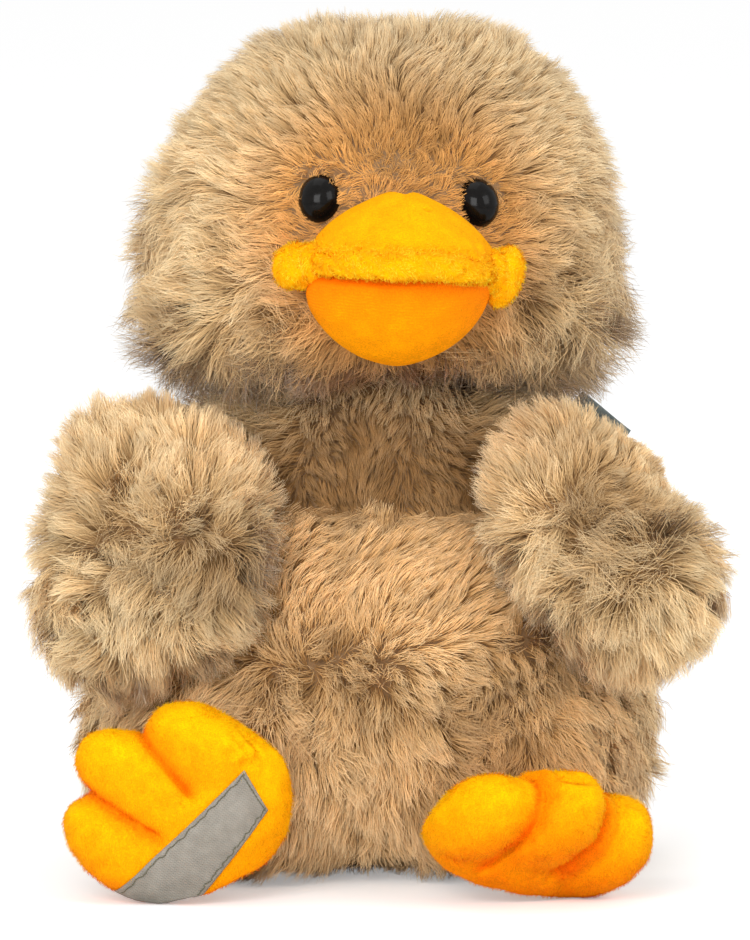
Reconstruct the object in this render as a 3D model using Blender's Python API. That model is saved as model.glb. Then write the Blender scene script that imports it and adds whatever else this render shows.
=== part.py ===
"""Plush duck that sits by itself: sewn bags with their fillings, plastic eyes, a stuffed bill
and velour feet.

Metres, +Z up. The duck faces -Y, and its own left side is +X. The origin lies on the flat patch
that it sits on, under its neck. A bag is drawn by its swellings, the rounded masses that the
filling pushes out. Where a smaller bag meets a larger one it is pressed in, far enough for the
whole turn of its seam, as cloth gives way on a real toy.
"""

import math
from collections import namedtuple

import bmesh
import bpy
import numpy as np
from mathutils import Euler, Matrix, Vector

Swelling = namedtuple("Swelling", "centre halves under axes squareness")
Roll = namedtuple("Roll", "centre half_width half_reach radius axes")
Hinge = namedtuple("Hinge", "name point axis low high")
Globe = namedtuple("Globe", "bag segments rings directions reach")
Fineness = namedtuple("Fineness", "segments rings inner_segments inner_rings")

# Cloth and clearances
pile_depth = 0.0050
plush_backing = 0.0010
plush_wall = pile_depth + plush_backing
velour_wall = 0.0018
filling_slack = 0.0009
seat_gap = 0.0003
press_gap = 0.0009
neck_gap = 0.0026
foot_gap = 0.0012
wing_gap = 0.0013
cut_overrun = 0.0040
floor_gap = 0.0004

# Body: a wide rump to sit on, thighs, a belly, a back and a chest that narrows to the neck
rump_half = Vector((0.0805, 0.0560, 0.0405))
rump_y = 0.0120
base_press = 0.0005
thigh_half = Vector((0.0290, 0.0300, 0.0250))
thigh_x = 0.0450
thigh_y = -0.0320
belly_half = Vector((0.0600, 0.0460, 0.0500))
belly_y = -0.0140
belly_z = 0.0620
back_half = Vector((0.0560, 0.0440, 0.0500))
back_y = 0.0080
back_z = 0.0820
chest_half = Vector((0.0490, 0.0410, 0.0390))
chest_y = 0.0010
chest_z = 0.1020
neck_radius = 0.0260
neck_opening_radius = 0.0160

# Pellet bag on the floor of the body
pellet_bag_half = Vector((0.0500, 0.0360, 0.0140))
pellet_floor_gap = 0.0005

# Head: skull, two crown bumps, full cheeks and a muzzle that carries the bill
neck_y = 0.0040
neck_z = 0.1380
head_yaw = math.radians(5.5)
head_roll = math.radians(2.0)
head_middle_rise = 0.0600
skull_half = Vector((0.0620, 0.0520, 0.0500))
skull_rise = 0.0490
crown_half = Vector((0.0300, 0.0360, 0.0260))
crown_spread = 0.0190
crown_rise = 0.0735
cheek_half = Vector((0.0400, 0.0450, 0.0420))
cheek_spread = 0.0300
cheek_forward = 0.0080
cheek_rise = 0.0260
muzzle_half = Vector((0.0330, 0.0240, 0.0260))
muzzle_forward = 0.0360
muzzle_rise = 0.0430
head_opening_radius = 0.0160
nod_back = math.radians(-8)
nod_forward = math.radians(10)

# Bill: an upper pillow with a rolled lip and two corner lobes, and a hanging lower pouch
bill_forward = 0.0600
mouth_rise = 0.0427
upper_bill_half = Vector((0.0270, 0.0340, 0.0185))
upper_bill_under = 0.0040
lip_radius = 0.0050
lip_half = Vector((0.0235, 0.0320, 0))
corner_half = Vector((0.0074, 0.0074, 0.0070))
corner_spread = 0.0290
corner_forward = 0.0040
lower_bill_half = Vector((0.0320, 0.0310, 0.0060))
lower_bill_drop = 0.0262
lower_bill_set_down = 0.0050
bill_middle_forward = 0.0080
bill_opening_radius = 0.0080

# Safety eyes: an oval dome on a ribbed stem that a lock washer holds behind the cloth
eye_spacing = 0.0475
eye_rise = 0.0585
eye_half_width = 0.0063
eye_half_height = 0.0073
eye_dome_height = 0.0066
eye_rim_height = 0.0008
eye_stem_radius = 0.0018
eye_stem_length = 0.0125
eye_rib_height = 0.0003
eye_rib_pitch = 0.0024
washer_radius = 0.0075
washer_thickness = 0.0012
washer_collar_radius = 0.0034
washer_collar_height = 0.0014
washer_room_gap = 0.0004

# Wings: a shoulder, a palm and two rounded lobes at the tip, sewn to the chest at the shoulder
shoulder_half = Vector((0.0330, 0.0280, 0.0290))
palm_half = Vector((0.0280, 0.0240, 0.0270))
outer_lobe_half = Vector((0.0260, 0.0260, 0.0280))
inner_lobe_half = Vector((0.0230, 0.0230, 0.0240))
right_shoulder_at = Vector((-0.0520, -0.0180, 0.1170))
right_outer_lobe_at = Vector((-0.0730, -0.0420, 0.0820))
right_inner_lobe_at = Vector((-0.0440, -0.0500, 0.0920))
left_shoulder_at = Vector((0.0500, -0.0180, 0.1150))
left_outer_lobe_at = Vector((0.0725, -0.0430, 0.0870))
left_inner_lobe_at = Vector((0.0530, -0.0440, 0.1000))
wing_seam_x = 0.0440
wing_seam_y = -0.0040
wing_seam_z = 0.1180
wing_root_half = Vector((0.0140, 0.0170, 0.0140))
wing_opening_radius = 0.0090
wing_drop = math.radians(-4)
wing_lift = math.radians(16)

# Feet: a heel pad and three toes that fan out, one foot upright and one tipped forward
toe_half = Vector((0.0122, 0.0183, 0.0128))
toe_pitch = 0.0185
toe_forward = 0.0050
middle_toe_lead = 0.0030
toe_fan = math.radians(5)
heel_half = Vector((0.0270, 0.0180, 0.0150))
heel_pad_shift = 0.0110
right_foot_x = -0.0555
right_foot_y = -0.0760
right_foot_swing = math.radians(-53)
right_foot_tip = math.radians(4)
left_foot_x = 0.0465
left_foot_y = -0.0800
left_foot_swing = math.radians(42)
left_foot_tip = math.radians(57)
ankle_inset = 0.0090
ankle_y = -0.0630
ankle_z = 0.0120
ankle_root_half = Vector((0.0160, 0.0125, 0.0112))
foot_opening_radius = 0.0070
foot_raise = math.radians(-8)
foot_dip = math.radians(8)

# Tail: a stuffed nub low on the back, turned up
tail_half = Vector((0.0270, 0.0300, 0.0200))
tail_y = 0.0620
tail_z = 0.0500
tail_tilt = math.radians(30)
tail_opening_radius = 0.0060

# Ribbon across the right sole, and the folded label in the left side seam
ribbon_width = 0.0140
ribbon_thickness = 0.0005
ribbon_back = 0.0140
label_length = 0.0265
label_width = 0.0180
label_thickness = 0.0004
label_fold_gap = 0.0006
label_y = 0.0240
label_z = 0.0790
label_tilt = math.radians(28)

# How the masses run into each other
blend_sharpness = 7.0
lobe_sharpness = 7.0
toe_sharpness = 7.5
bill_sharpness = 9.0
lone_sharpness = 1.0
seat_squareness = 3.2
round_squareness = 2.0
dome_squareness = 1.75
toe_squareness = 2.5

# How finely the bags are drawn, and how far a globe's points are gathered towards its rim
body_fineness = Fineness(32, 21, 16, 11)
head_fineness = Fineness(24, 17, 16, 11)
wing_fineness = Fineness(18, 13, 13, 9)
foot_fineness = Fineness(34, 10, 34, 10)
upper_bill_fineness = Fineness(28, 12, 28, 12)
lower_bill_fineness = Fineness(20, 11, 16, 9)
tail_fineness = Fineness(14, 9, 10, 8)
pellet_fineness = Fineness(18, 9, 18, 9)
no_flattening = 1.0
bill_flattening = 0.34
foot_flattening = 0.6
pellet_flattening = 0.4
easing_rounds = 3
settling_rounds = 4
reach_share = 1.5
eye_segments = 16
eye_dome_steps = 6
opening_segments = 14
ribbon_steps = (15, 5)
label_rows = 5
label_bends = 6
crease_angle = math.radians(50)
joint_steps = 5
ray_steps = 32
bisect_steps = 22
weld_distance = 0.000001


def clear_scene():
    for obj in list(bpy.data.objects):
        bpy.data.objects.remove(obj, do_unlink=True)


def swelling(centre, halves, under=None, axes=None, squareness=round_squareness):
    """A rounded mass: its half sizes, and how far it hangs below its centre if that differs."""
    axes = np.eye(3) if axes is None else np.array(axes.to_3x3())
    return Swelling(np.array(centre), np.array(halves), under or halves[2], axes, squareness)


def turned(place, parts):
    """Swellings given in a piece's own frame, moved to where the piece is."""
    turn = np.array(place.to_3x3())
    moved = []
    for part in parts:
        centre = np.array(place @ Vector(part.centre))
        moved.append(part._replace(centre=centre, axes=turn @ part.axes))
    return moved


def fullness(parts, sharpness, points, grow):
    """One or more inside the blended masses, each grown outward by the same distance."""
    total = np.zeros(len(points))
    for part in parts:
        local = (points - part.centre) @ part.axes
        if isinstance(part, Roll):
            ring = np.hypot(local[:, 0] / part.half_width, local[:, 1] / part.half_reach)
            off = (ring - 1) * min(part.half_width, part.half_reach)
            distance = np.hypot(off, local[:, 2]) / (part.radius + grow)
        else:
            half_x, half_y, half_z = part.halves + grow
            height = np.where(local[:, 2] < 0, part.under + grow, half_z)
            flat = np.hypot(local[:, 0] / half_x, local[:, 1] / half_y)
            power = part.squareness
            if power == round_squareness:
                distance = np.hypot(flat, local[:, 2] / height)
            else:
                distance = (flat**power + np.abs(local[:, 2] / height) ** power) ** (1 / power)
        total += np.exp(sharpness * (1 - distance))
    return total


def moved_by(hinge, angle, points):
    """The points after a turn about a hinge."""
    turn = np.array(Matrix.Rotation(angle, 3, Vector(hinge.axis)))
    point = np.array(hinge.point)
    return (points - point) @ turn.T + point


def stops_of(hinge):
    return [0.0] if hinge is None else [0.0, *np.linspace(hinge.low, hinge.high, joint_steps)]


def turns_tried(hinge, other_hinge):
    """The pairs of angles at which a bag is tried against a neighbour, at rest first."""
    if hinge == other_hinge:
        return [(0.0, 0.0)]
    return [(own, other) for own in stops_of(hinge) for other in stops_of(other_hinge)]


class Bag:
    """A stuffed form: the masses that fill it, a point well inside it, and the hinge it turns on."""

    def __init__(self, middle, parts, sharpness, hinge=None, pole=(0, 0, 1), flattening=no_flattening):
        self.middle = np.array(middle)
        self.parts = parts
        self.sharpness = sharpness
        self.hinge = hinge
        self.pole = Vector(pole)
        self.flattening = flattening
        self.easing = easing_rounds
        self.pressers = []
        self.stands_on_floor = False

    def holds(self, points, grow=0.0):
        inside = np.linalg.norm(points - self.middle, axis=1) < self.reach()
        inside[inside] = fullness(self.parts, self.sharpness, points[inside], grow) >= 1
        return inside

    def press(self, other, gap):
        self.pressers.append((other, gap))

    def free(self, points, grow):
        """Which points the cloth may reach: inside the bag, and clear of every neighbour."""
        good = self.holds(points, grow)
        if self.stands_on_floor:
            good &= points[:, 2] >= -min(grow, 0.0)
        for other, gap in self.pressers:
            for own_angle, angle in turns_tried(self.hinge, other.hinge):
                open_ones = np.flatnonzero(good)
                there = points[open_ones]
                if own_angle:
                    there = moved_by(self.hinge, own_angle, there)
                if angle:
                    there = moved_by(other.hinge, -angle, there)
                good[open_ones] = ~other.holds(there, gap - grow)
        return good

    def surface(self, directions, grow=0.0):
        """Where a ray from the middle first leaves the space that the cloth may fill."""
        reach = self.reach()
        low = np.zeros(len(directions))
        high = np.full(len(directions), reach)
        found = np.zeros(len(directions), bool)
        for step in range(1, ray_steps + 1):
            at = reach * step / ray_steps
            still = ~found
            inside = np.ones(len(directions), bool)
            inside[still] = self.free(self.middle + directions[still] * at, grow)
            left = still & ~inside
            low[left] = reach * (step - 1) / ray_steps
            high[left] = at
            found |= left
        for _ in range(bisect_steps):
            half = (low + high) / 2
            inside = self.free(self.middle + directions * half[:, None], grow)
            low = np.where(inside, half, low)
            high = np.where(inside, high, half)
        return self.middle + directions * low[:, None]

    def reach(self):
        """A distance from the middle that is past every mass."""
        far = []
        for part in self.parts:
            size = part.half_width + part.radius if isinstance(part, Roll) else max(part.halves)
            far.append(np.linalg.norm(part.centre - self.middle) + reach_share * size)
        return max(far)

    def outward(self, point):
        """The unit direction straight out of the cloth at a point."""
        steps = np.vstack([np.eye(3), -np.eye(3)]) * press_gap
        values = fullness(self.parts, self.sharpness, np.array(point) + steps, 0.0)
        return Vector(values[3:] - values[:3]).normalized()

    def along(self, start, direction, grow=0.0):
        """The point where a line from a place inside the bag comes out of it."""
        near, far = 0.0, self.reach()
        for _ in range(bisect_steps):
            half = (near + far) / 2
            if self.holds(np.array([start + direction * half]), grow)[0]:
                near = half
            else:
                far = half
        return start + direction * near


def material(name, colour, roughness, metallic=0.0):
    made = bpy.data.materials.new(name)
    made.use_nodes = True
    shader = made.node_tree.nodes["Principled BSDF"]
    shader.inputs["Base Color"].default_value = (*colour, 1.0)
    shader.inputs["Roughness"].default_value = roughness
    shader.inputs["Metallic"].default_value = metallic
    made.diffuse_color = (*colour, 1.0)
    return made


def pivot(name, place):
    """An empty that carries a group of pieces, on the axis that they turn about."""
    empty = bpy.data.objects.new(name, None)
    empty.matrix_world = place
    empty.empty_display_size = pile_depth
    bpy.context.collection.objects.link(empty)
    return empty


def add_piece(name, mesh, look, carrier=None):
    """Adds a mesh whose points are in the duck's frame, with its origin on its carrier's."""
    obj = bpy.data.objects.new(name, mesh)
    bpy.context.collection.objects.link(obj)
    if carrier:
        mesh.transform(carrier.matrix_world.inverted())
        obj.parent = carrier
    if look:
        mesh.materials.append(look)
    mesh.shade_smooth()
    mesh.set_sharp_from_angle(angle=crease_angle)
    return obj


def add_cutter(name, mesh, carrier=None):
    cutter = add_piece(name, mesh, None, carrier)
    cutter.hide_render = True
    cutter.display_type = "WIRE"
    return cutter


def cut(obj, *cutters):
    for cutter in cutters:
        modifier = obj.modifiers.new("cut " + cutter.name, "BOOLEAN")
        modifier.operation = "DIFFERENCE"
        modifier.solver = "EXACT"
        modifier.object = cutter


def to_mesh(name, bm, tidy_normals=True):
    if tidy_normals:
        bmesh.ops.recalc_face_normals(bm, faces=bm.faces)
    mesh = bpy.data.meshes.new(name)
    bm.to_mesh(mesh)
    bm.free()
    return mesh


def globe_net(segments, rings):
    bm = bmesh.new()
    bmesh.ops.create_uvsphere(bm, u_segments=segments, v_segments=rings, radius=1)
    bmesh.ops.triangulate(bm, faces=bm.faces, quad_method="FIXED")
    bm.verts.index_update()
    return bm


def globe(bag, segments, rings, grow=0.0):
    """The bag's surface, as how far the cloth lies from the middle along a globe's directions."""
    bm = globe_net(segments, rings)
    turn = bag.pole.to_track_quat("Z", "Y").to_matrix() @ Matrix.Diagonal((1, 1, bag.flattening))
    directions = np.array([(turn @ vert.co).normalized() for vert in bm.verts])
    links = np.array([[vert.index for vert in edge.verts] for edge in bm.edges])
    bm.free()
    reach = np.linalg.norm(bag.surface(directions, grow) - bag.middle, axis=1)
    if bag.pressers and bag.easing:
        reach = eased(bag, directions, links, reach, grow)
    return Globe(bag, segments, rings, directions, reach)


def eased(bag, directions, links, reach, grow):
    """The reach with the rim of each pressed dent rounded off, never farther out than it was."""
    tips = bag.middle + directions * (reach + press_gap)[:, None]
    pressed = bag.holds(tips, grow)
    near = pressed.copy()
    for here, there in ((0, 1), (1, 0)):
        near[links[pressed[links[:, here]], there]] = True
    count = np.bincount(links.ravel(), minlength=len(reach))
    for _ in range(bag.easing):
        total = np.bincount(links[:, 0], reach[links[:, 1]], len(reach))
        total += np.bincount(links[:, 1], reach[links[:, 0]], len(reach))
        drawn_in = (reach + total / count) / 2
        reach = np.where(near, np.minimum(reach, drawn_in), reach)
    return reach


def globe_mesh(name, form, slack=0.0):
    """The closed surface of a globe, drawn in towards its middle by a slack."""
    bm = globe_net(form.segments, form.rings)
    for vert, direction, reach in zip(bm.verts, form.directions, form.reach):
        vert.co = form.bag.middle + direction * (reach - slack)
    return to_mesh(name, bm, tidy_normals=False)


def facing(at, direction, upright=None):
    """A frame whose Z runs along a direction, and whose Y is as near to upright as it can be."""
    forward = direction.normalized()
    if upright is None:
        upright = Vector((0, 1, 0)) if abs(forward.z) > abs(forward.y) else Vector((0, 0, 1))
    side = upright.cross(forward).normalized()
    over = forward.cross(side)
    turn = Matrix((side, over, forward)).transposed().to_4x4()
    return Matrix.Translation(at) @ turn


def rod_mesh(name, start, end, radius, stretch=1.0, upright=None):
    """A round or oval rod from one point to another, for openings, pockets and stem holes."""
    bm = bmesh.new()
    length = (end - start).length
    bmesh.ops.create_cone(
        bm, cap_ends=True, segments=opening_segments, radius1=radius, radius2=radius, depth=length
    )
    bmesh.ops.scale(bm, vec=(1, stretch, 1), verts=bm.verts)
    place = facing((start + end) / 2, end - start, upright)
    bmesh.ops.transform(bm, matrix=place, verts=bm.verts)
    return to_mesh(name, bm)


def spun_mesh(name, profile, stretch, place):
    """A profile of (radius, height) points spun about its axis, oval by the stretch."""
    bm = bmesh.new()
    verts = [bm.verts.new((radius, 0, height)) for radius, height in profile]
    edges = [bm.edges.new(pair) for pair in zip(verts, verts[1:])]
    bmesh.ops.spin(
        bm, geom=verts + edges, cent=(0, 0, 0), axis=(0, 0, 1), angle=math.tau,
        steps=eye_segments, use_merge=True,
    )
    bmesh.ops.remove_doubles(bm, verts=bm.verts, dist=weld_distance)
    bmesh.ops.scale(bm, vec=(1, stretch, 1), verts=bm.verts)
    bmesh.ops.transform(bm, matrix=place, verts=bm.verts)
    return to_mesh(name, bm)


def add_bag(name, bag, wall, looks, fineness, mouth, carrier):
    """A sewn bag with its seam left open, and the filling inside it."""
    outer = globe(bag, fineness.segments, fineness.rings)
    inner = globe(bag, fineness.inner_segments, fineness.inner_rings, -wall)
    cloth = looks["plush"] if wall == plush_wall else looks["velour"]
    skin = add_piece(name + "_skin", globe_mesh(name + "_skin", outer), cloth, carrier)
    cavity = add_cutter(name + "_cavity", globe_mesh(name + "_cavity", inner), carrier)
    opening = add_cutter(name + "_opening", rod_mesh(name + "_opening", *mouth), carrier)
    cut(skin, cavity, opening)
    stuffing = globe_mesh(name + "_filling", inner, filling_slack)
    filling = add_piece(name + "_filling", stuffing, looks["filling"], carrier)
    return skin, filling


def mouth_towards(bag, target, radius):
    """An opening from inside a bag out through its wall, towards the seam that closes it."""
    way = (target - Vector(bag.middle)).normalized()
    direction = np.array([way])
    wall_at = Vector(bag.surface(direction)[0])
    inside_at = Vector(bag.surface(direction, -plush_wall)[0])
    return inside_at - way * cut_overrun, wall_at + way * cut_overrun, radius


def wing_seam(side):
    """The middle of a wing's seam, where the body swells into its shoulder."""
    return (side * wing_seam_x, wing_seam_y, wing_seam_z)


def ankle(side):
    """The fold that a foot rocks on, where the body swells into its heel."""
    foot_x = left_foot_x if side > 0 else right_foot_x
    return (foot_x - side * ankle_inset, ankle_y, ankle_z)


# The forms, largest first
def body_form():
    neck_half = Vector((neck_radius, neck_radius, neck_radius))
    parts = [
        swelling((0, rump_y, rump_half.z - base_press), rump_half, squareness=seat_squareness),
        swelling((0, belly_y, belly_z), belly_half),
        swelling((0, back_y, back_z), back_half),
        swelling((0, chest_y, chest_z), chest_half),
        swelling((0, neck_y, neck_z), neck_half),
    ]
    for side in (-1, 1):
        parts.append(swelling((side * thigh_x, thigh_y, thigh_half.z), thigh_half))
        parts.append(swelling(wing_seam(side), wing_root_half))
        parts.append(swelling(ankle(side), ankle_root_half))
    bag = Bag((0, chest_y, belly_z), parts, blend_sharpness)
    bag.stands_on_floor = True
    return bag


def head_place():
    turn = Euler((0, head_roll, head_yaw)).to_matrix().to_4x4()
    return Matrix.Translation((0, neck_y, neck_z)) @ turn


def head_form(body):
    parts = [
        swelling((0, 0, skull_rise), skull_half),
        swelling((0, -muzzle_forward, muzzle_rise), muzzle_half),
    ]
    for side in (-1, 1):
        parts.append(swelling((side * crown_spread, 0, crown_rise), crown_half))
        parts.append(swelling((side * cheek_spread, -cheek_forward, cheek_rise), cheek_half))
    place = head_place()
    hinge = Hinge("head_nod", tuple(place.translation), (1, 0, 0), nod_back, nod_forward)
    bag = Bag(place @ Vector((0, 0, head_middle_rise)), turned(place, parts), blend_sharpness, hinge)
    bag.press(body, neck_gap)
    return bag


def wing_form(side, shoulder, outer, inner, body, head):
    palm = (shoulder + outer + inner) / 3
    parts = [
        swelling(shoulder, shoulder_half),
        swelling(palm, palm_half),
        swelling(outer, outer_lobe_half),
        swelling(inner, inner_lobe_half),
    ]
    name = "left_wing_lift" if side > 0 else "right_wing_lift"
    hinge = Hinge(name, wing_seam(side), (0, -side, 0), wing_drop, wing_lift)
    bag = Bag(palm, parts, lobe_sharpness, hinge, pole=outer - shoulder)
    bag.press(body, wing_gap)
    bag.press(head, press_gap)
    return bag


def foot_place(x, y, swing, tip):
    """A foot's own frame: +Y along its toes, +Z out of its top, its sole towards the front."""
    toes_up = Matrix(((-1, 0, 0), (0, 0, 1), (0, 1, 0)))
    turn = Euler((tip, 0, 0)).to_matrix() @ Euler((0, swing, 0)).to_matrix() @ toes_up
    return Matrix.Translation((x, y, 0)) @ turn.to_4x4()


def foot_form(side, place, body, wing):
    """The foot lies on the floor: it is pressed against the body, then let down, in turn."""
    parts = [swelling((0, -heel_pad_shift, 0), heel_half)]
    for step in (-1, 0, 1):
        fan = Euler((0, 0, -step * toe_fan)).to_matrix()
        lead = toe_forward if step else toe_forward + middle_toe_lead
        centre = Vector((step * toe_pitch, lead, 0))
        parts.append(swelling(centre, toe_half, axes=fan, squareness=toe_squareness))
    name = "left_foot_tilt" if side > 0 else "right_foot_tilt"
    hinge = Hinge(name, ankle(side), (1, 0, 0), foot_raise, foot_dip)
    pole = place.to_3x3() @ Vector((0, 0, 1))
    for _ in range(settling_rounds):
        bag = Bag(place.translation, turned(place, parts), toe_sharpness, hinge, pole, foot_flattening)
        bag.press(body, foot_gap)
        bag.press(wing, press_gap)
        pressed = globe(bag, foot_fineness.segments, foot_fineness.rings)
        lowest = (bag.middle + pressed.directions * pressed.reach[:, None])[:, 2].min()
        settled = bag, place
        place = Matrix.Translation((0, 0, floor_gap - lowest)) @ place
    return settled


def tail_form(body):
    tilt = Euler((tail_tilt, 0, 0)).to_matrix()
    parts = [swelling((0, tail_y, tail_z), tail_half, axes=tilt)]
    middle = Vector((0, tail_y, tail_z)) + tilt @ Vector((0, tail_half.y / 2, 0))
    bag = Bag(middle, parts, lone_sharpness, pole=tilt @ Vector((0, 1, 0)))
    bag.press(body, seat_gap)
    bag.easing = 0
    return bag


def upper_bill_form(head):
    place = head_place()
    at = Vector((0, -bill_forward, mouth_rise))
    parts = [
        swelling(at, upper_bill_half, under=upper_bill_under, squareness=dome_squareness),
        Roll(np.array(at), lip_half.x, lip_half.y, lip_radius, np.eye(3)),
    ]
    for side in (-1, 1):
        corner = at + Vector((side * corner_spread, -corner_forward, 0))
        parts.append(swelling(corner, corner_half))
    middle = place @ (at + Vector((0, -bill_middle_forward, upper_bill_under)))
    pole = place.to_3x3() @ Vector((0, 0, 1))
    bag = Bag(middle, turned(place, parts), bill_sharpness, head.hinge, pole, bill_flattening)
    bag.easing = 0
    bag.press(head, press_gap)
    return bag


def lower_bill_form(head, upper):
    place = head_place()
    at = Vector((0, -bill_forward, mouth_rise - lower_bill_set_down))
    parts = [swelling(at, lower_bill_half, under=lower_bill_drop)]
    middle = place @ (at - Vector((0, bill_middle_forward, lower_bill_drop / 2)))
    bag = Bag(middle, turned(place, parts), lone_sharpness, head.hinge)
    bag.press(head, press_gap)
    bag.press(upper, press_gap)
    return bag


def eye_profile():
    """Half of an eye's outline: its dome, its flat back and the ribbed stem."""
    profile = [(0, eye_dome_height)]
    for step in range(1, eye_dome_steps + 1):
        angle = math.pi / 2 * step / eye_dome_steps
        height = eye_rim_height + (eye_dome_height - eye_rim_height) * math.cos(angle)
        profile.append((eye_half_width * math.sin(angle), height))
    profile.append((eye_half_width, 0))
    profile.append((eye_stem_radius, 0))
    for rib in range(int(eye_stem_length / eye_rib_pitch) - 1):
        top = -(rib * eye_rib_pitch + eye_rib_pitch / 2)
        profile.append((eye_stem_radius, top))
        profile.append((eye_stem_radius + eye_rib_height, top - eye_rib_pitch / 4))
    profile.append((eye_stem_radius, -eye_stem_length + eye_rib_height))
    profile.append((0, -eye_stem_length))
    return profile


def washer_profile(bore):
    return [
        (bore, 0),
        (washer_radius, 0),
        (washer_radius, -washer_thickness),
        (washer_collar_radius, -washer_thickness),
        (washer_collar_radius, -washer_thickness - washer_collar_height),
        (bore, -washer_thickness - washer_collar_height),
        (bore, 0),
    ]


def add_eye(side, head, head_skin, head_filling, carrier, looks):
    """One safety eye, the pocket in the pile that it sits in, its hole and its lock washer."""
    name = "left_eye" if side > 0 else "right_eye"
    place = head_place()
    upright = Vector((0, 0, 1))
    start = place @ Vector((side * eye_spacing / 2, 0, eye_rise))
    pile_at = head.along(start, place.to_3x3() @ Vector((0, -1, 0)))
    out = head.outward(pile_at)
    cloth_at = pile_at - out * pile_depth
    stretch = eye_half_height / eye_half_width
    frame = facing(cloth_at + out * seat_gap, out, upright)
    add_piece(name, spun_mesh(name, eye_profile(), stretch, frame), looks["eye"], carrier)

    pocket_end = pile_at + out * (eye_dome_height + cut_overrun)
    pocket_radius = eye_half_width + seat_gap
    pocket = rod_mesh(name + "_pocket", cloth_at, pocket_end, pocket_radius, stretch, upright)
    bore = (eye_stem_radius + eye_rib_height) * stretch + seat_gap
    hole_end = cloth_at - out * (plush_backing + cut_overrun)
    hole = rod_mesh(name + "_hole", hole_end, pile_at, bore)
    cut(head_skin, add_cutter(name + "_pocket", pocket, carrier))
    cut(head_skin, add_cutter(name + "_hole", hole, carrier))

    seat = cloth_at - out * plush_backing
    washer_frame = facing(seat - out * seat_gap, out, upright)
    washer = spun_mesh(name + "_washer", washer_profile(bore), 1.0, washer_frame)
    add_piece(name + "_washer", washer, looks["washer"], carrier)
    room_end = cloth_at - out * (eye_stem_length + seat_gap)
    room = rod_mesh(name + "_washer_room", room_end, seat, washer_radius + washer_room_gap)
    room = add_cutter(name + "_washer_room", room, carrier)
    cut(head_skin, room)
    cut(head_filling, room)


def strip_mesh(name, tops, bottoms):
    """A closed strip from two grids of points of the same size, its upper and lower faces."""
    bm = bmesh.new()
    upper = [[bm.verts.new(point) for point in row] for row in tops]
    lower = [[bm.verts.new(point) for point in row] for row in bottoms]
    rows, columns = len(upper), len(upper[0])
    for grid in (upper, lower):
        for i in range(rows - 1):
            for j in range(columns - 1):
                bm.faces.new((grid[i][j], grid[i + 1][j], grid[i + 1][j + 1], grid[i][j + 1]))
    rim = [(i, 0) for i in range(rows)] + [(rows - 1, j) for j in range(1, columns)]
    rim += [(i, columns - 1) for i in range(rows - 2, -1, -1)]
    rim += [(0, j) for j in range(columns - 2, 0, -1)]
    for (i, j), (k, m) in zip(rim, rim[1:] + rim[:1]):
        bm.faces.new((upper[i][j], upper[k][m], lower[k][m], lower[i][j]))
    return to_mesh(name, bm)


def add_ribbon(foot, place, look, carrier):
    """The ribbon follows the sole from one side seam to the other, near the heel."""
    sole_way = place.to_3x3() @ Vector((0, 0, -1))
    across, along = ribbon_steps
    half_span = heel_half.x
    ways = []
    for i in range(across):
        x = half_span * (2 * i / (across - 1) - 1)
        for j in range(along):
            y = -ribbon_back + ribbon_width * (j / (along - 1) - 1 / 2)
            spot = place @ Vector((x, y, 0)) + sole_way * toe_half.z
            ways.append((spot - Vector(foot.middle)).normalized())
    ways = np.array(ways)
    bottoms = foot.surface(ways, press_gap).reshape(across, along, 3)
    tops = foot.surface(ways, press_gap + ribbon_thickness).reshape(across, along, 3)
    add_piece("foot_ribbon", strip_mesh("foot_ribbon", tops, bottoms), look, carrier)


def label_path(start, end, grow):
    """The side view of the folded label: out along one layer, round the fold, and back."""
    half = label_fold_gap / 2 + grow
    centre = end - label_fold_gap / 2
    path = [(start, half), (centre, half)]
    for bend in range(1, label_bends):
        angle = math.pi / 2 - math.pi * bend / label_bends
        path.append((centre + half * math.cos(angle), half * math.sin(angle)))
    return path + [(centre, -half), (start, -half)]


def add_label(body, look, carrier):
    """A folded label: two layers that meet in a fold at the outer end, sewn in at the side."""
    way = Vector((math.cos(label_tilt), 0, math.sin(label_tilt)))
    over = Vector((0, 1, 0))
    up = over.cross(way)
    centre = Vector((0, label_y, label_z))
    spans = [label_width * (row / (label_rows - 1) - 1 / 2) for row in range(label_rows)]
    starts = [centre + up * span for span in spans]
    roots = [(body.along(at, way, seat_gap) - at).length for at in starts]
    end = max(roots) + label_length
    layers = []
    for grow in (label_thickness, 0):
        rows = []
        for start, root in zip(starts, roots):
            rows.append([start + way * x + over * y for x, y in label_path(root, end, grow)])
        layers.append(rows)
    add_piece("side_label", strip_mesh("side_label", *layers), look, carrier)


def pellet_form():
    """The weight in the seat: a slack bag that lies on the floor of the body."""
    middle = Vector((0, rump_y, plush_wall + pellet_floor_gap + pellet_bag_half.z))
    parts = [swelling(middle, pellet_bag_half, squareness=seat_squareness)]
    bag = Bag(middle, parts, lone_sharpness, flattening=pellet_flattening)
    return globe(bag, pellet_fineness.segments, pellet_fineness.rings)


clear_scene()

looks = {
    "plush": material("tan plush", (0.48, 0.33, 0.17), 0.9),
    "velour": material("orange velour", (1.0, 0.45, 0.0), 0.8),
    "filling": material("white fibre", (0.85, 0.85, 0.83), 0.95),
    "pellets": material("pellet bag cloth", (0.75, 0.75, 0.72), 0.9),
    "eye": material("black eye plastic", (0.01, 0.01, 0.012), 0.08),
    "washer": material("white washer plastic", (0.8, 0.8, 0.78), 0.4),
    "ribbon": material("grey satin", (0.36, 0.34, 0.30), 0.5),
    "label": material("blue grey label", (0.22, 0.26, 0.27), 0.7),
}

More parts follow.
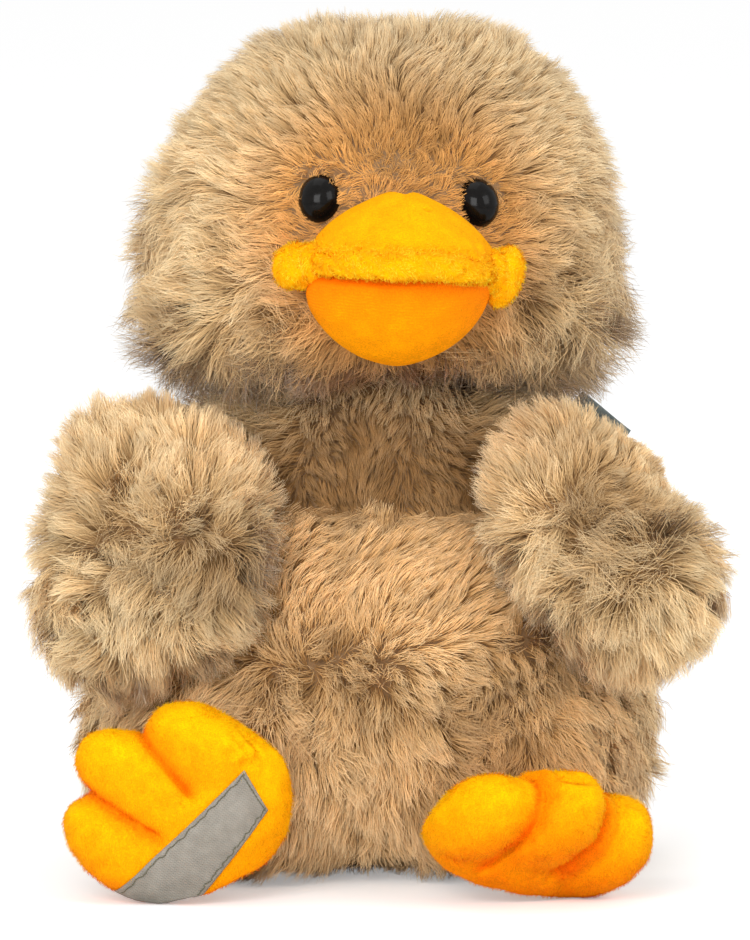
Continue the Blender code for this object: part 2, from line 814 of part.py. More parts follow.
body = body_form()
head = head_form(body)
right_wing = wing_form(-1, right_shoulder_at, right_outer_lobe_at, right_inner_lobe_at, body, head)
left_wing = wing_form(1, left_shoulder_at, left_outer_lobe_at, left_inner_lobe_at, body, head)
right_frame = foot_place(right_foot_x, right_foot_y, right_foot_swing, right_foot_tip)
right_foot, right_frame = foot_form(-1, right_frame, body, right_wing)
left_frame = foot_place(left_foot_x, left_foot_y, left_foot_swing, left_foot_tip)
left_foot, left_frame = foot_form(1, left_frame, body, left_wing)
tail = tail_form(body)
upper_bill = upper_bill_form(head)
lower_bill = lower_bill_form(head, upper_bill)

# Body, with the pellet bag under its filling, its tail and its label
body_carrier = pivot("body_frame", Matrix())
neck_point = Vector((0, neck_y, neck_z))
neck_mouth = mouth_towards(body, neck_point, neck_opening_radius)
body_skin, body_filling = add_bag(
    "body", body, plush_wall, looks, body_fineness, neck_mouth, body_carrier
)
pellets = pellet_form()
add_piece("pellet_bag", globe_mesh("pellet_bag", pellets), looks["pellets"], body_carrier)
pellet_room = globe_mesh("pellet_room", pellets, -filling_slack)
cut(body_filling, add_cutter("pellet_room", pellet_room, body_carrier))
tail_mouth = mouth_towards(tail, Vector((0, rump_y, rump_half.z)), tail_opening_radius)
add_bag("tail", tail, plush_wall, looks, tail_fineness, tail_mouth, body_carrier)
add_label(body, looks["label"], body_carrier)

# Head, with its bill and eyes
head_carrier = pivot("neck_seam", Matrix.Translation(neck_point))
head_mouth = mouth_towards(head, neck_point, head_opening_radius)
head_skin, head_filling = add_bag(
    "head", head, plush_wall, looks, head_fineness, head_mouth, head_carrier
)
for side in (-1, 1):
    add_eye(side, head, head_skin, head_filling, head_carrier, looks)
face = head_place()
behind_upper = face @ Vector((0, 0, mouth_rise + upper_bill_half.z / 3))
upper_mouth = mouth_towards(upper_bill, behind_upper, bill_opening_radius)
add_bag("upper_bill", upper_bill, velour_wall, looks, upper_bill_fineness, upper_mouth, head_carrier)
behind_lower = face @ Vector((0, 0, mouth_rise - lower_bill_drop / 2))
lower_mouth = mouth_towards(lower_bill, behind_lower, bill_opening_radius)
add_bag("lower_bill", lower_bill, velour_wall, looks, lower_bill_fineness, lower_mouth, head_carrier)

# Wings and feet, each on the empty at its seam
for name, bag in (("right_wing", right_wing), ("left_wing", left_wing)):
    carrier = pivot(name + "_seam", Matrix.Translation(bag.hinge.point))
    mouth = mouth_towards(bag, Vector((0, chest_y, wing_seam_z)), wing_opening_radius)
    add_bag(name, bag, plush_wall, looks, wing_fineness, mouth, carrier)
for name, bag in (("right_foot", right_foot), ("left_foot", left_foot)):
    carrier = pivot(name + "_seam", Matrix.Translation(bag.hinge.point))
    mouth = mouth_towards(bag, Vector((0, 0, thigh_half.z)), foot_opening_radius)
    add_bag(name, bag, velour_wall, looks, foot_fineness, mouth, carrier)
    if name == "right_foot":
        add_ribbon(bag, right_frame, looks["ribbon"], carrier)
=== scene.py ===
import bmesh
import bpy
import math
import numpy as np
from mathutils import Euler, Matrix, Vector
from mathutils.bvhtree import BVHTree


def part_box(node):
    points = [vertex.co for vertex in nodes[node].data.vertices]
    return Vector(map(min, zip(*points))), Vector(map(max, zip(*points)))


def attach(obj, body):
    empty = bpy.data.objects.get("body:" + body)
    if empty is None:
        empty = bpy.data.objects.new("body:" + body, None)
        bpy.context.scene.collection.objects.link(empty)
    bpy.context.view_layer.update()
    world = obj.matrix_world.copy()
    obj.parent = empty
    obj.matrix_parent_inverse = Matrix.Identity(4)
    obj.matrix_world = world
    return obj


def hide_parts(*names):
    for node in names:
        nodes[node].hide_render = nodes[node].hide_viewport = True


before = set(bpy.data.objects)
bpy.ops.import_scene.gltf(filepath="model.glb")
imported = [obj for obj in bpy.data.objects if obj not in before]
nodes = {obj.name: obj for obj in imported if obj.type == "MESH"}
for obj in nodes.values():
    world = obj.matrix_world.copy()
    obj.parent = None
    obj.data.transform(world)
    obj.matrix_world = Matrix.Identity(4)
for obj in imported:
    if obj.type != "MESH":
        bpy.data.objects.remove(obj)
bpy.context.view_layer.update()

# Room: a white table that keeps the duck's shadow, a white wall, and soft lamps in front and above.
# The duck fills the height of the picture, seen from a little above the height of its belly.
class Wiring:
    """A node tree, written one node to a line: values and sockets go to its inputs in order."""

    def __init__(self, tree):
        self.tree = tree

    def socket(self, name, kind, default=None, way="INPUT"):
        made = self.tree.interface.new_socket(name, in_out=way, socket_type="NodeSocket" + kind)
        if default is not None:
            made.default_value = default
        return made.identifier

    def put(self, socket, value):
        if isinstance(value, bpy.types.NodeSocket):
            self.tree.links.new(value, socket)
        elif value is not None:
            socket.default_value = value

    def add(self, kind, *values, out=0, **settings):
        node = self.tree.nodes.new(kind)
        for key, value in settings.items():
            setattr(node, key, value)
        for socket, value in zip([s for s in node.inputs if s.enabled], values):
            self.put(socket, value)
        made = [s for s in node.outputs if s.enabled]
        return made[out] if isinstance(out, int) else [made[i] for i in out]

    def sums(self, operation, *values):
        return self.add("ShaderNodeMath", *values, operation=operation)

    def arrow(self, operation, *values):
        return self.add("ShaderNodeVectorMath", *values, operation=operation)

    def scaled(self, arrow, factor):
        node = self.tree.nodes.new("ShaderNodeVectorMath")
        node.operation = "SCALE"
        self.put(node.inputs[0], arrow)
        self.put(node.inputs["Scale"], factor)
        return node.outputs[0]

    def spread(self, value, low, high, least=0.0, most=1.0):
        return self.add("ShaderNodeMapRange", value, least, most, low, high)

    def blended(self, kind, factor, first, second):
        return self.add("ShaderNodeMix", factor, first, second, data_type="RGBA", blend_type=kind)

    def mark(self, name, part="Fac"):
        """A number, colour or arrow that each point of a piece carries."""
        node = self.tree.nodes.new("ShaderNodeAttribute")
        node.attribute_name = name
        return node.outputs[part]

    def group(self, tree, **values):
        """A node group with its own values set. Gives its outputs."""
        node = self.tree.nodes.new("ShaderNodeGroup")
        node.node_tree = tree
        for key, value in values.items():
            node.inputs[key.replace("_", " ")].default_value = value
        return node.outputs

    def bumped(self, height, strength, distance):
        node = self.tree.nodes.new("ShaderNodeBump")
        for key, value in (("Strength", strength), ("Distance", distance), ("Height", height)):
            self.put(node.inputs[key], value)
        return node.outputs[0]


table_mesh = bpy.data.meshes.new("table")
table_mesh.from_pydata([(-3, -3, 0), (3, -3, 0), (3, 3, 0), (-3, 3, 0)], [], [(0, 1, 2, 3)])
table = bpy.data.objects.new("table", table_mesh)
bpy.context.collection.objects.link(table)
table_paint = bpy.data.materials.new("white table")
table_paint.use_nodes = True
do = Wiring(table_paint.node_tree)
do.tree.nodes.clear()
table_matte = do.add("ShaderNodeBsdfDiffuse", (0.9, 0.9, 0.9, 1))
table_lift = do.sums("MULTIPLY", do.add("ShaderNodeLightPath"), 0.30)
table_glow = do.add("ShaderNodeEmission", None, table_lift)
do.add("ShaderNodeOutputMaterial", do.add("ShaderNodeAddShader", table_matte, table_glow), out=())
table_mesh.materials.append(table_paint)

room = bpy.data.worlds.new("room")
bpy.context.scene.world = room
room.use_nodes = True
do = Wiring(room.node_tree)
ray = do.tree.nodes.new("ShaderNodeLightPath").outputs
seen = do.sums("MAXIMUM", ray["Is Camera Ray"], ray["Is Glossy Ray"])
seen = do.sums("MAXIMUM", seen, ray["Is Transmission Ray"])
room_light = do.tree.nodes["Background"]
do.put(room_light.inputs["Color"], (1, 1, 1, 1))
do.put(room_light.inputs["Strength"], do.spread(seen, 0.74, 1.0))

for name, place, aim, size, watts in (
    ("key lamp", (-0.46, -1.50, 0.72), (0, 0, 0.08), 0.9, 17.6),
    ("side lamp", (1.20, -0.90, 0.85), (0, 0, 0.12), 0.8, 7.0),
    ("top lamp", (-0.2, 0.10, 1.60), (0, 0, 0.15), 1.0, 2.4),
):
    lamp = bpy.data.objects.new(name, bpy.data.lights.new(name, "AREA"))
    lamp.data.size = size
    lamp.data.energy = watts
    lamp.location = place
    lamp.rotation_euler = (Vector(aim) - Vector(place)).to_track_quat("-Z", "Y").to_euler()
    bpy.context.collection.objects.link(lamp)

view_height = 0.2632
view_distance = 4.0
view_rise = math.radians(7)
view_aim = Vector((0, -0.080, 0.1227))
camera = bpy.data.objects.new("camera", bpy.data.cameras.new("camera"))
camera.data.sensor_fit = "VERTICAL"
camera.data.sensor_height = 36
camera.data.lens = 36 * view_distance / view_height
camera.data.clip_end = 20
camera.location = view_aim + Vector((0, -math.cos(view_rise), math.sin(view_rise))) * view_distance
camera.rotation_euler = (view_aim - camera.location).to_track_quat("-Z", "Y").to_euler()
bpy.context.collection.objects.link(camera)
bpy.context.scene.camera = camera
bpy.context.scene.view_settings.view_transform = "Standard"

# Body: a bag of tan plush on a knitted backing, stuffed with fibre over a bag of pellets.
# The pile is brushed down the chest and away from a parting on the belly, and parts at the front seam.
# Its bag is drawn on the outside of the CAD skin, then set in by the depth of the pile.
def even_net(detail):
    """Directions spread evenly over a globe, with the faces and edges that join them."""
    bm = bmesh.new()
    bmesh.ops.create_icosphere(bm, subdivisions=detail, radius=1)
    ways = np.array([vert.co.normalized() for vert in bm.verts])
    faces = np.array([[vert.index for vert in face.verts] for face in bm.faces])
    links = np.array([[vert.index for vert in edge.verts] for edge in bm.edges])
    bm.free()
    return ways, faces, links


def evened(values, links, rounds, where=None):
    """Values on a net, averaged with their neighbours for some rounds."""
    count = np.bincount(links.ravel(), minlength=len(values))
    for _ in range(rounds):
        total = np.bincount(links[:, 0], values[links[:, 1]], len(values))
        total += np.bincount(links[:, 1], values[links[:, 0]], len(values))
        mixed = (values + total / count) / 2
        values = mixed if where is None else np.where(where, mixed, values)
    return values


def skin_reach(node, middle, ways):
    """How far the outside of a CAD skin lies from its middle, along each way."""
    tree = BVHTree.FromPolygons(
        [vert.co for vert in nodes[node].data.vertices],
        [tuple(face.vertices) for face in nodes[node].data.polygons],
    )
    far = 0.4
    reach = np.zeros(len(ways))
    for i, way in enumerate(ways):
        hit = tree.ray_cast(middle + Vector(way) * far, -Vector(way), far)
        reach[i] = far - hit[3] if hit[0] else 0
    return reach


def new_piece(name, points, faces, look=None):
    mesh = bpy.data.meshes.new(name)
    mesh.from_pydata(np.asarray(points).tolist(), [], np.asarray(faces).tolist())
    mesh.shade_smooth()
    piece = bpy.data.objects.new(name, mesh)
    bpy.context.collection.objects.link(piece)
    if look:
        mesh.materials.append(look)
    return piece


def plush_bag(name, node, middle, set_in, spots=(), over=()):
    """The backing of a plush piece. Spots are places and radii where the CAD skin is cut open,
    and the cloth lies over the nodes named last."""
    ways, faces, links = even_net(5)
    reach = skin_reach(node, middle, ways)
    points = np.array(middle) + ways * reach[:, None]
    for place, radius in spots:
        inside = np.linalg.norm(points - np.array(place), axis=1) < radius
        reach = evened(reach, links, 300, inside)
    reach = evened(reach, links, 14)
    inset = set_in(np.array(middle) + ways * reach[:, None]) if callable(set_in) else set_in
    reach = reach - inset
    for hidden in over:
        lifted = skin_reach(hidden, middle, ways)
        lifted = np.where(lifted > 0, lifted + 0.0010, 0)
        for _ in range(2):
            spread = lifted.copy()
            np.maximum.at(spread, links[:, 0], lifted[links[:, 1]] - 0.0002)
            np.maximum.at(spread, links[:, 1], lifted[links[:, 0]] - 0.0002)
            lifted = spread
        reach = np.maximum(reach, lifted)
    return new_piece(name, np.array(middle) + ways * reach[:, None], faces)


def laid_over(way, normal):
    """Brushing directions, laid flat on the cloth, one unit long."""
    flat = way - normal * (way * normal).sum(1)[:, None]
    return flat / np.maximum(np.linalg.norm(flat, axis=1), 1e-6)[:, None]


def near(points, place, reach):
    """One at a place, falling to nothing past a reach from it."""
    apart = np.linalg.norm(points - np.array(place), axis=1)
    return np.exp(-((apart / reach) ** 2))


def ramp(values, low, high):
    t = np.clip((values - low) / (high - low), 0, 1)
    return t * t * (3 - 2 * t)


def parted(points, start, end, reach):
    """The way out from a parting in the pile, and how strongly each point feels it."""
    start, end = np.array(start), np.array(end)
    share = ((points - start) @ (end - start)) / ((end - start) @ (end - start))
    off = points - (start + np.clip(share, 0, 1)[:, None] * (end - start))
    apart = np.linalg.norm(off, axis=1)
    pull = np.exp(-((apart / reach) ** 2))
    return off / np.maximum(apart, 1e-6)[:, None] * pull[:, None], pull


def opening(points, way):
    """How strongly the pile is brushed apart at each point of a bag."""
    links = even_net(5)[2]
    step = points[links[:, 1]] - points[links[:, 0]]
    drift = ((way[links[:, 1]] - way[links[:, 0]]) * step).sum(1) / (step**2).sum(1)
    total = np.bincount(links[:, 0], drift, len(points)) + np.bincount(links[:, 1], drift, len(points))
    drift = evened(total / np.bincount(links.ravel(), minlength=len(points)), links, 3)
    return np.clip((drift - 40) / 160, 0, 1)


def swirls(points, grain, seed):
    """A wandering direction, the way brushed pile never lies quite straight."""
    rng = np.random.default_rng(seed)
    total = np.zeros_like(points)
    for _ in range(6):
        wave = rng.normal(size=3)
        wave *= math.tau / grain / np.linalg.norm(wave) * rng.uniform(0.6, 1.4)
        total += np.sin((points @ wave)[:, None] + rng.uniform(0, math.tau, 3))
    return total / 3


def lumps(points, grain, seed):
    return swirls(points, grain, seed)[:, 0]


def points_of(mesh):
    points = np.empty(len(mesh.vertices) * 3)
    mesh.vertices.foreach_get("co", points)
    normals = np.empty(len(mesh.vertices) * 3)
    mesh.vertices.foreach_get("normal", normals)
    return points.reshape(-1, 3), normals.reshape(-1, 3)


def carry(piece, **marks):
    """Writes values on a piece's points, for its pile or its material to read."""
    count = len(piece.data.vertices)
    if "length" in marks:
        marks = {"matted": 1.0, **marks}
    for name, values in marks.items():
        values = np.asarray(values, np.float32) * np.ones(1, np.float32)
        arrow = values.ndim == 2
        values = values if arrow else np.broadcast_to(values, (count,))
        made = piece.data.attributes.new(name, "FLOAT_VECTOR" if arrow else "FLOAT", "POINT")
        made.data.foreach_set("vector" if arrow else "value", np.ascontiguousarray(values).ravel())


def pile_tree():
    """Hairs over a backing: each rises, leans over the way it is brushed, and joins a lock."""
    tree = bpy.data.node_groups.new("pile", "GeometryNodeTree")
    do = Wiring(tree)
    keys = {}
    for name, kind, default in (
        ("Geometry", "Geometry", None),
        ("Hairs per square metre", "Float", 2000000.0),
        ("Locks per square metre", "Float", 40000.0),
        ("Hair width", "Float", 0.0003),
        ("Bends", "Int", 3),
        ("Gathering", "Float", 0.4),
        ("Pointing", "Float", 0.25),
        ("Ruffle", "Float", 0.3),
        ("Frizz", "Float", 0.2),
        ("Curl", "Float", 0.08),
        ("Tuft size", "Float", 0.008),
        ("Tuft stray", "Float", 0.3),
        ("Bow", "Float", 0.9),
        ("Seed", "Int", 1),
        ("Material", "Material", None),
    ):
        keys[name] = do.socket(name, kind, default)
    do.socket("Geometry", "Geometry", way="OUTPUT")
    given = tree.nodes.new("NodeGroupInput").outputs
    seeds = [do.sums("ADD", given["Seed"], float(i)) for i in range(10)]

    def read(name, kind="FLOAT"):
        return do.add("GeometryNodeInputNamedAttribute", name, data_type=kind)

    def store(geometry, name, value, kind="FLOAT"):
        return do.add(
            "GeometryNodeStoreNamedAttribute", geometry, True, name, value,
            data_type=kind, domain="POINT",
        )

    def chance(low, high, seed, kind="FLOAT"):
        node = tree.nodes.new("FunctionNodeRandomValue")
        node.data_type = kind
        for socket in [s for s in node.inputs if s.enabled]:
            if socket.name in ("Min", "Max"):
                socket.default_value = low if socket.name == "Min" else high
        tree.links.new(seed, node.inputs["Seed"])
        return [s for s in node.outputs if s.enabled][0]

    def scattered(density, seed):
        points, normal = do.add(
            "GeometryNodeDistributePointsOnFaces", given["Geometry"], None, density, seed,
            out=(0, 1), distribute_method="RANDOM",
        )
        return store(points, "up", normal, "FLOAT_VECTOR")

    def tip_of(ruffle, seed):
        """Where a hair's tip would lie, from the cloth under it, in the tuft that it stands in."""
        stray = chance((-1, -1, -1), (1, 1, 1), seed, "FLOAT_VECTOR")
        tuft = do.add("ShaderNodeTexVoronoi", spot, do.sums("DIVIDE", 1.0, given["Tuft size"]), out=1)
        tuft = do.arrow("MULTIPLY_ADD", tuft, (2, 2, 2), (-1, -1, -1))
        lean = read("lean")
        along = do.scaled(read("way", "FLOAT_VECTOR"), do.sums("SINE", lean))
        over = do.scaled(read("up", "FLOAT_VECTOR"), do.sums("COSINE", lean))
        stray = do.arrow("ADD", do.scaled(stray, ruffle), do.scaled(tuft, given["Tuft stray"]))
        aim = do.arrow("ADD", do.arrow("ADD", along, over), do.scaled(stray, read("matted")))
        return do.scaled(do.arrow("NORMALIZE", aim), read("length"))

    spot = do.add("GeometryNodeInputPosition")
    locks = scattered(given["Locks per square metre"], seeds[1])
    locks = store(locks, "tip", do.arrow("ADD", spot, tip_of(given["Ruffle"], seeds[2])), "FLOAT_VECTOR")
    locks = store(locks, "lock", chance(0.0, 1.0, seeds[3]))

    roots = scattered(do.sums("MULTIPLY", given["Hairs per square metre"], read("cover")), seeds[0])
    nearest = do.add("GeometryNodeSampleNearest", locks, spot, domain="POINT")
    heart = do.add(
        "GeometryNodeSampleIndex", locks, spot, nearest, data_type="FLOAT_VECTOR", domain="POINT",
    )
    crowding = do.sums("SQRT", given["Locks per square metre"])
    outer = do.sums("MULTIPLY", do.arrow("DISTANCE", spot, heart), crowding)
    roots = store(roots, "outer", do.sums("MINIMUM", outer, 1.2))
    pointed = do.sums("SUBTRACT", 1.08, do.sums("MULTIPLY", read("outer"), given["Pointing"]))
    uneven = do.sums("MULTIPLY", pointed, chance(0.72, 1.12, seeds[4]))
    roots = store(roots, "length", do.sums("MULTIPLY", read("length"), uneven))
    joined = do.add(
        "GeometryNodeSampleIndex", locks, read("tip", "FLOAT_VECTOR"), nearest,
        data_type="FLOAT_VECTOR", domain="POINT",
    )
    lock = do.add(
        "GeometryNodeSampleIndex", locks, read("lock"), nearest, data_type="FLOAT", domain="POINT",
    )
    own = tip_of(given["Frizz"], seeds[5])
    pull = do.sums("MULTIPLY", given["Gathering"], chance(0.35, 1.2, seeds[6]))
    gathered = do.arrow("SUBTRACT", joined, do.arrow("ADD", spot, own))
    roots = store(roots, "tip", do.arrow("ADD", own, do.scaled(gathered, pull)), "FLOAT_VECTOR")
    roots = store(roots, "root", spot, "FLOAT_VECTOR")
    roots = store(roots, "lock", lock)
    roots = store(roots, "shade", chance(0.0, 1.0, seeds[7]))
    roots = store(roots, "twist", chance(-0.9, 0.9, seeds[8]))
    bend = do.sums("MULTIPLY", do.sums("MULTIPLY", given["Curl"], read("matted")), read("length"))
    bend = do.scaled(chance((-1, -1, -1), (1, 1, 1), seeds[9], "FLOAT_VECTOR"), bend)
    roots = store(roots, "bend", bend, "FLOAT_VECTOR")

    # One hair is a narrow blade, told how far along and across each of its points is.
    blade = do.add("GeometryNodeMeshGrid", 1.0, 1.0, 2, given["Bends"])
    flat = do.add("ShaderNodeSeparateXYZ", spot, out=(0, 1))
    blade = store(blade, "across", do.sums("MULTIPLY", flat[0], 2.0))
    blade = store(blade, "along", do.sums("ADD", flat[1], 0.5))
    hairs = do.add("GeometryNodeInstanceOnPoints", roots, None, blade)
    hairs = do.add("GeometryNodeRealizeInstances", hairs)

    # Each hair rises from its root in a bow, and ends at its tip.
    t = read("along")
    tip = read("tip", "FLOAT_VECTOR")
    up = read("up", "FLOAT_VECTOR")
    belly = do.sums("MULTIPLY", t, do.sums("SUBTRACT", 1.0, t))
    rise = do.sums("MULTIPLY", do.sums("MULTIPLY", belly, read("length")), given["Bow"])
    spine = do.arrow("ADD", do.scaled(tip, t), do.scaled(up, rise))
    spine = do.arrow("ADD", spine, do.scaled(read("bend", "FLOAT_VECTOR"), do.sums("MULTIPLY", belly, 4.0)))
    side = do.arrow("NORMALIZE", do.arrow("CROSS_PRODUCT", tip, up))
    over = do.arrow("NORMALIZE", do.arrow("CROSS_PRODUCT", side, tip))
    twist = read("twist")
    side = do.arrow(
        "ADD", do.scaled(side, do.sums("COSINE", twist)), do.scaled(over, do.sums("SINE", twist))
    )
    taper = do.sums("SUBTRACT", 1.0, do.sums("MULTIPLY", do.sums("MULTIPLY", t, t), 0.7))
    half = do.sums("MULTIPLY", do.sums("MULTIPLY", given["Hair width"], 0.5), taper)
    edge = do.scaled(side, do.sums("MULTIPLY", half, read("across")))
    place = do.arrow("ADD", do.arrow("ADD", read("root", "FLOAT_VECTOR"), spine), edge)
    hairs = do.add("GeometryNodeSetPosition", hairs, True, place)
    hairs = do.add("GeometryNodeSetMaterial", hairs, True, given["Material"])
    tree.links.new(hairs, tree.nodes.new("NodeGroupOutput").inputs[0])
    return tree, keys


pile, pile_keys = pile_tree()


def grow_pile(bag, name, look, **sizes):
    """The hairs of one piece, as a plain mesh, shaded as the rounded cloth under them is."""
    modifier = bag.modifiers.new("pile", "NODES")
    modifier.node_group = pile
    modifier[pile_keys["Material"]] = look
    for key, value in sizes.items():
        modifier[pile_keys[key.replace("_", " ")]] = value
    bag.update_tag()
    bpy.context.view_layer.update()
    graph = bpy.context.evaluated_depsgraph_get()
    grown = bag.evaluated_get(graph)
    mesh = bpy.data.meshes.new_from_object(grown, preserve_all_data_layers=True, depsgraph=graph)
    bag.modifiers.remove(modifier)
    mesh.name = name
    up = np.empty(len(mesh.vertices) * 3, np.float32)
    mesh.attributes["up"].data.foreach_get("vector", up)
    own = np.empty(len(mesh.vertices) * 3, np.float32)
    mesh.vertices.foreach_get("normal", own)
    soft = 0.85 * up.reshape(-1, 3) + 0.15 * own.reshape(-1, 3)
    mesh.shade_smooth()
    mesh.normals_split_custom_set_from_vertices(soft)
    places = np.empty(len(mesh.vertices) * 3, np.float32)
    mesh.vertices.foreach_get("co", places)
    places[2::3] = np.maximum(places[2::3], 0.0002)
    mesh.vertices.foreach_set("co", places)
    for spent in (
        "up", "tip", "root", "twist", "bend", "way", "length", "lean", "cover", "matted", "across",
    ):
        mesh.attributes.remove(mesh.attributes[spent])
    hairs = bpy.data.objects.new(name, mesh)
    bpy.context.collection.objects.link(hairs)
    return hairs


def new_look(name, roughness, **settings):
    """A material with its shader's plain values set, and the wiring to add to it."""
    look = bpy.data.materials.new(name)
    look.use_nodes = True
    shader = look.node_tree.nodes["Principled BSDF"]
    shader.inputs["Roughness"].default_value = roughness
    for key, value in settings.items():
        shader.inputs[key.replace("_", " ")].default_value = value
    return look, Wiring(look.node_tree), shader


def hair_shade_group():
    """How much lighter or darker one hair is than the next, and one lock than the next, with painted shade on the
    hairs at the edge of a lock, where the gaps between locks lie.
    """
    tree = bpy.data.node_groups.new("hair shade", "ShaderNodeTree")
    do = Wiring(tree)
    do.socket("Lock spread", "Float", 0.3)
    do.socket("Hair spread", "Float", 0.3)
    do.socket("Gap depth", "Float", 0.3)
    do.socket("Shade", "Color", way="OUTPUT")
    given = tree.nodes.new("NodeGroupInput").outputs
    shade = 1.0
    for mark, share in (("lock", given["Lock spread"]), ("shade", given["Hair spread"])):
        off = do.sums("MULTIPLY", do.sums("SUBTRACT", do.mark(mark), 0.5), share)
        shade = do.sums("MULTIPLY", shade, do.sums("ADD", off, 1.0))
    lock_gap_shade = do.sums("MULTIPLY", do.sums("SUBTRACT", do.mark("outer"), 0.35), given["Gap depth"])
    shade = do.sums("MULTIPLY", shade, do.sums("SUBTRACT", 1.0, lock_gap_shade))
    grey = do.add("ShaderNodeCombineColor", shade, shade, shade)
    tree.links.new(grey, tree.nodes.new("NodeGroupOutput").inputs[0])
    return tree


hair_shade = hair_shade_group()


def hair_look(name, stops, warm, deep, lock_spread=0.22, hair_spread=0.30, lock_gap_shade=0.0, gloss=0.15, bloom=0.2):
    """Hairs with a colour for each stop from root to tip, tinted where marked, which also carries painted light,
    and darkened where marked, which is painted shade and darker tone.
    """
    look, do, shader = new_look(name, 0.7, Specular_IOR_Level=gloss, Sheen_Weight=bloom)
    ramped = do.tree.nodes.new("ShaderNodeValToRGB")
    ends = ramped.color_ramp.elements
    for i, (position, colour) in enumerate(stops):
        stop = ends[i] if i < 2 else ends.new(position)
        stop.position, stop.color = position, (*colour, 1)
    do.put(ramped.inputs["Fac"], do.mark("along"))
    colour = do.blended("MIX", do.mark("warm"), ramped.outputs["Color"], (*warm, 1))
    colour = do.blended("MIX", do.mark("deep"), colour, (*deep, 1))
    shade = do.group(hair_shade, Lock_spread=lock_spread, Hair_spread=hair_spread, Gap_depth=lock_gap_shade)
    do.put(shader.inputs["Base Color"], do.blended("MULTIPLY", 1.0, colour, shade["Shade"]))
    return look


plush = hair_look(
    "tan plush",
    ((0.0, (0.30, 0.155, 0.052)), (1.0, (1.0, 0.80, 0.485)), (0.42, (0.86, 0.575, 0.27))),
    warm=(0.88, 0.40, 0.09), deep=(0.22, 0.100, 0.024), lock_spread=0.28, hair_spread=0.26, lock_gap_shade=0.34,
)
backing, do, shader = new_look("plush backing", 0.9)
knit = do.add("ShaderNodeTexNoise", do.add("ShaderNodeTexCoord", out=3), 1500.0, 2.0)
do.put(shader.inputs["Base Color"], do.blended("MIX", knit, (0.20, 0.11, 0.045, 1), (0.30, 0.17, 0.075, 1)))

body_middle = Vector((0, 0.001, 0.072))
down = np.array((0, 0, -1.0))


def body_set_in(points):
    """The pile stands fullest on the hips, the right one most."""
    low = 1 - ramp(points[:, 2], 0.045, 0.070)
    right, left = ramp(-points[:, 0], 0.045, 0.068), ramp(points[:, 0], 0.045, 0.068)
    return 0.0050 - low * (0.0035 * right + 0.0010 * left)


body_bag = plush_bag("body_plush", "body_skin", body_middle, body_set_in)
at, out = points_of(body_bag.data)
front = ramp(-at[:, 1], 0.010, 0.030)
belly, belly_pull = parted(at, (-0.026, -0.055, 0.0615), (0.000, -0.058, 0.0585), 0.019)
hips = (at - body_middle) * np.array((1, 1, 0)) * 9
upper = ramp(at[:, 2], 0.062, 0.074) * (1 - ramp(at[:, 2], 0.100, 0.108)) * front
swept = np.array((0.75, -0.2, 0.75)) * upper[:, None]
way = down * (1 - upper)[:, None] + hips * (1 - upper)[:, None] + 1.6 * swept
way = way + 2.8 * belly + 0.50 * swirls(at, 0.030, 3)
seam_off = at[:, 0] - 0.0195
seam = np.exp(-((seam_off / 0.0022) ** 2)) * front * ramp(-at[:, 2], -0.066, -0.058)
way[:, 0] += np.sign(seam_off) * seam * 1.2
beside = ramp(seam_off, 0.000, 0.003) * (1 - ramp(seam_off, 0.020, 0.034)) * front
beside = beside * ramp(-at[:, 2], -0.078, -0.060)
chest = ramp(at[:, 2], 0.103, 0.109) * (1 - ramp(np.abs(at[:, 0]), 0.030, 0.044)) * front
fold = np.exp(-(((at[:, 2] - 0.105 + 0.10 * (at[:, 0] + 0.02)) / 0.0045) ** 2)) * front
shoulder = ramp(at[:, 2], 0.112, 0.126) * ramp(np.abs(at[:, 0]), 0.018, 0.032)
way = way + np.sign(at[:, 0])[:, None] * np.array((2.2, 0, 0.8)) * shoulder[:, None]
streaks = near(at, (-0.008, -0.062, 0.040), 0.024)
length = 0.0105 + 0.0035 * streaks + 0.0030 * ramp(-at[:, 2], -0.066, -0.030) - 0.0035 * chest
length = length - 0.0025 * upper - 0.003 * beside + 0.010 * shoulder
length = np.minimum(length, 0.004 + 0.55 * np.maximum(at[:, 2], 0) + 0.006 * ramp(at[:, 2], 0.004, 0.02))
woolly = near(at, (-0.014, -0.055, 0.068), 0.020)
way = laid_over(way, out)
# Painted shade in the darker mark: the parting at the front seam, the middle of the belly's parting, the chest
# under the head, where the fur is also darker, and a painted shadow along the fold below the chest. The fur beside
# the seam and in patches is darker in tone.
carry(
    body_bag, way=way, length=length,
    lean=1.02 - 0.25 * seam - 0.20 * belly_pull + 0.15 * chest - 0.25 * shoulder - 0.40 * opening(at, way),
    cover=ramp(at[:, 2], 0.0005, 0.004) * (1 - ramp(at[:, 2], 0.142, 0.156)) * (0.72 + 0.28 * front),
    matted=1.0 - 0.45 * chest - 0.45 * upper + 0.8 * woolly + 0.3 * beside,
    warm=np.clip(
        0.22 * front + 0.34 * near(at, (0.042, -0.060, 0.036), 0.020) + 0.08 * woolly + 0.12 * upper, 0, 1
    ),
    deep=np.clip(
        0.55 * seam + 0.35 * belly_pull**4 + 0.80 * chest + 0.45 * fold + 0.36 * beside
        + 0.25 * woolly * (lumps(at, 0.008, 30) > 0.2)
        + 0.22 * front * ramp(lumps(at, 0.014, 90), 0.15, 0.7), 0, 0.9,
    ),
)
body_hairs = grow_pile(
    body_bag, "body_pile", plush, Hairs_per_square_metre=3.1e6, Locks_per_square_metre=140000.0,
    Gathering=0.60, Ruffle=0.42, Frizz=0.28, Curl=0.08, Tuft_size=0.008, Tuft_stray=0.45,
    Hair_width=0.00019, Seed=11,
)
body_bag.data.materials.append(backing)
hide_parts("body_skin", "body_filling", "pellet_bag")
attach(body_bag, "body")
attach(body_hairs, "body")

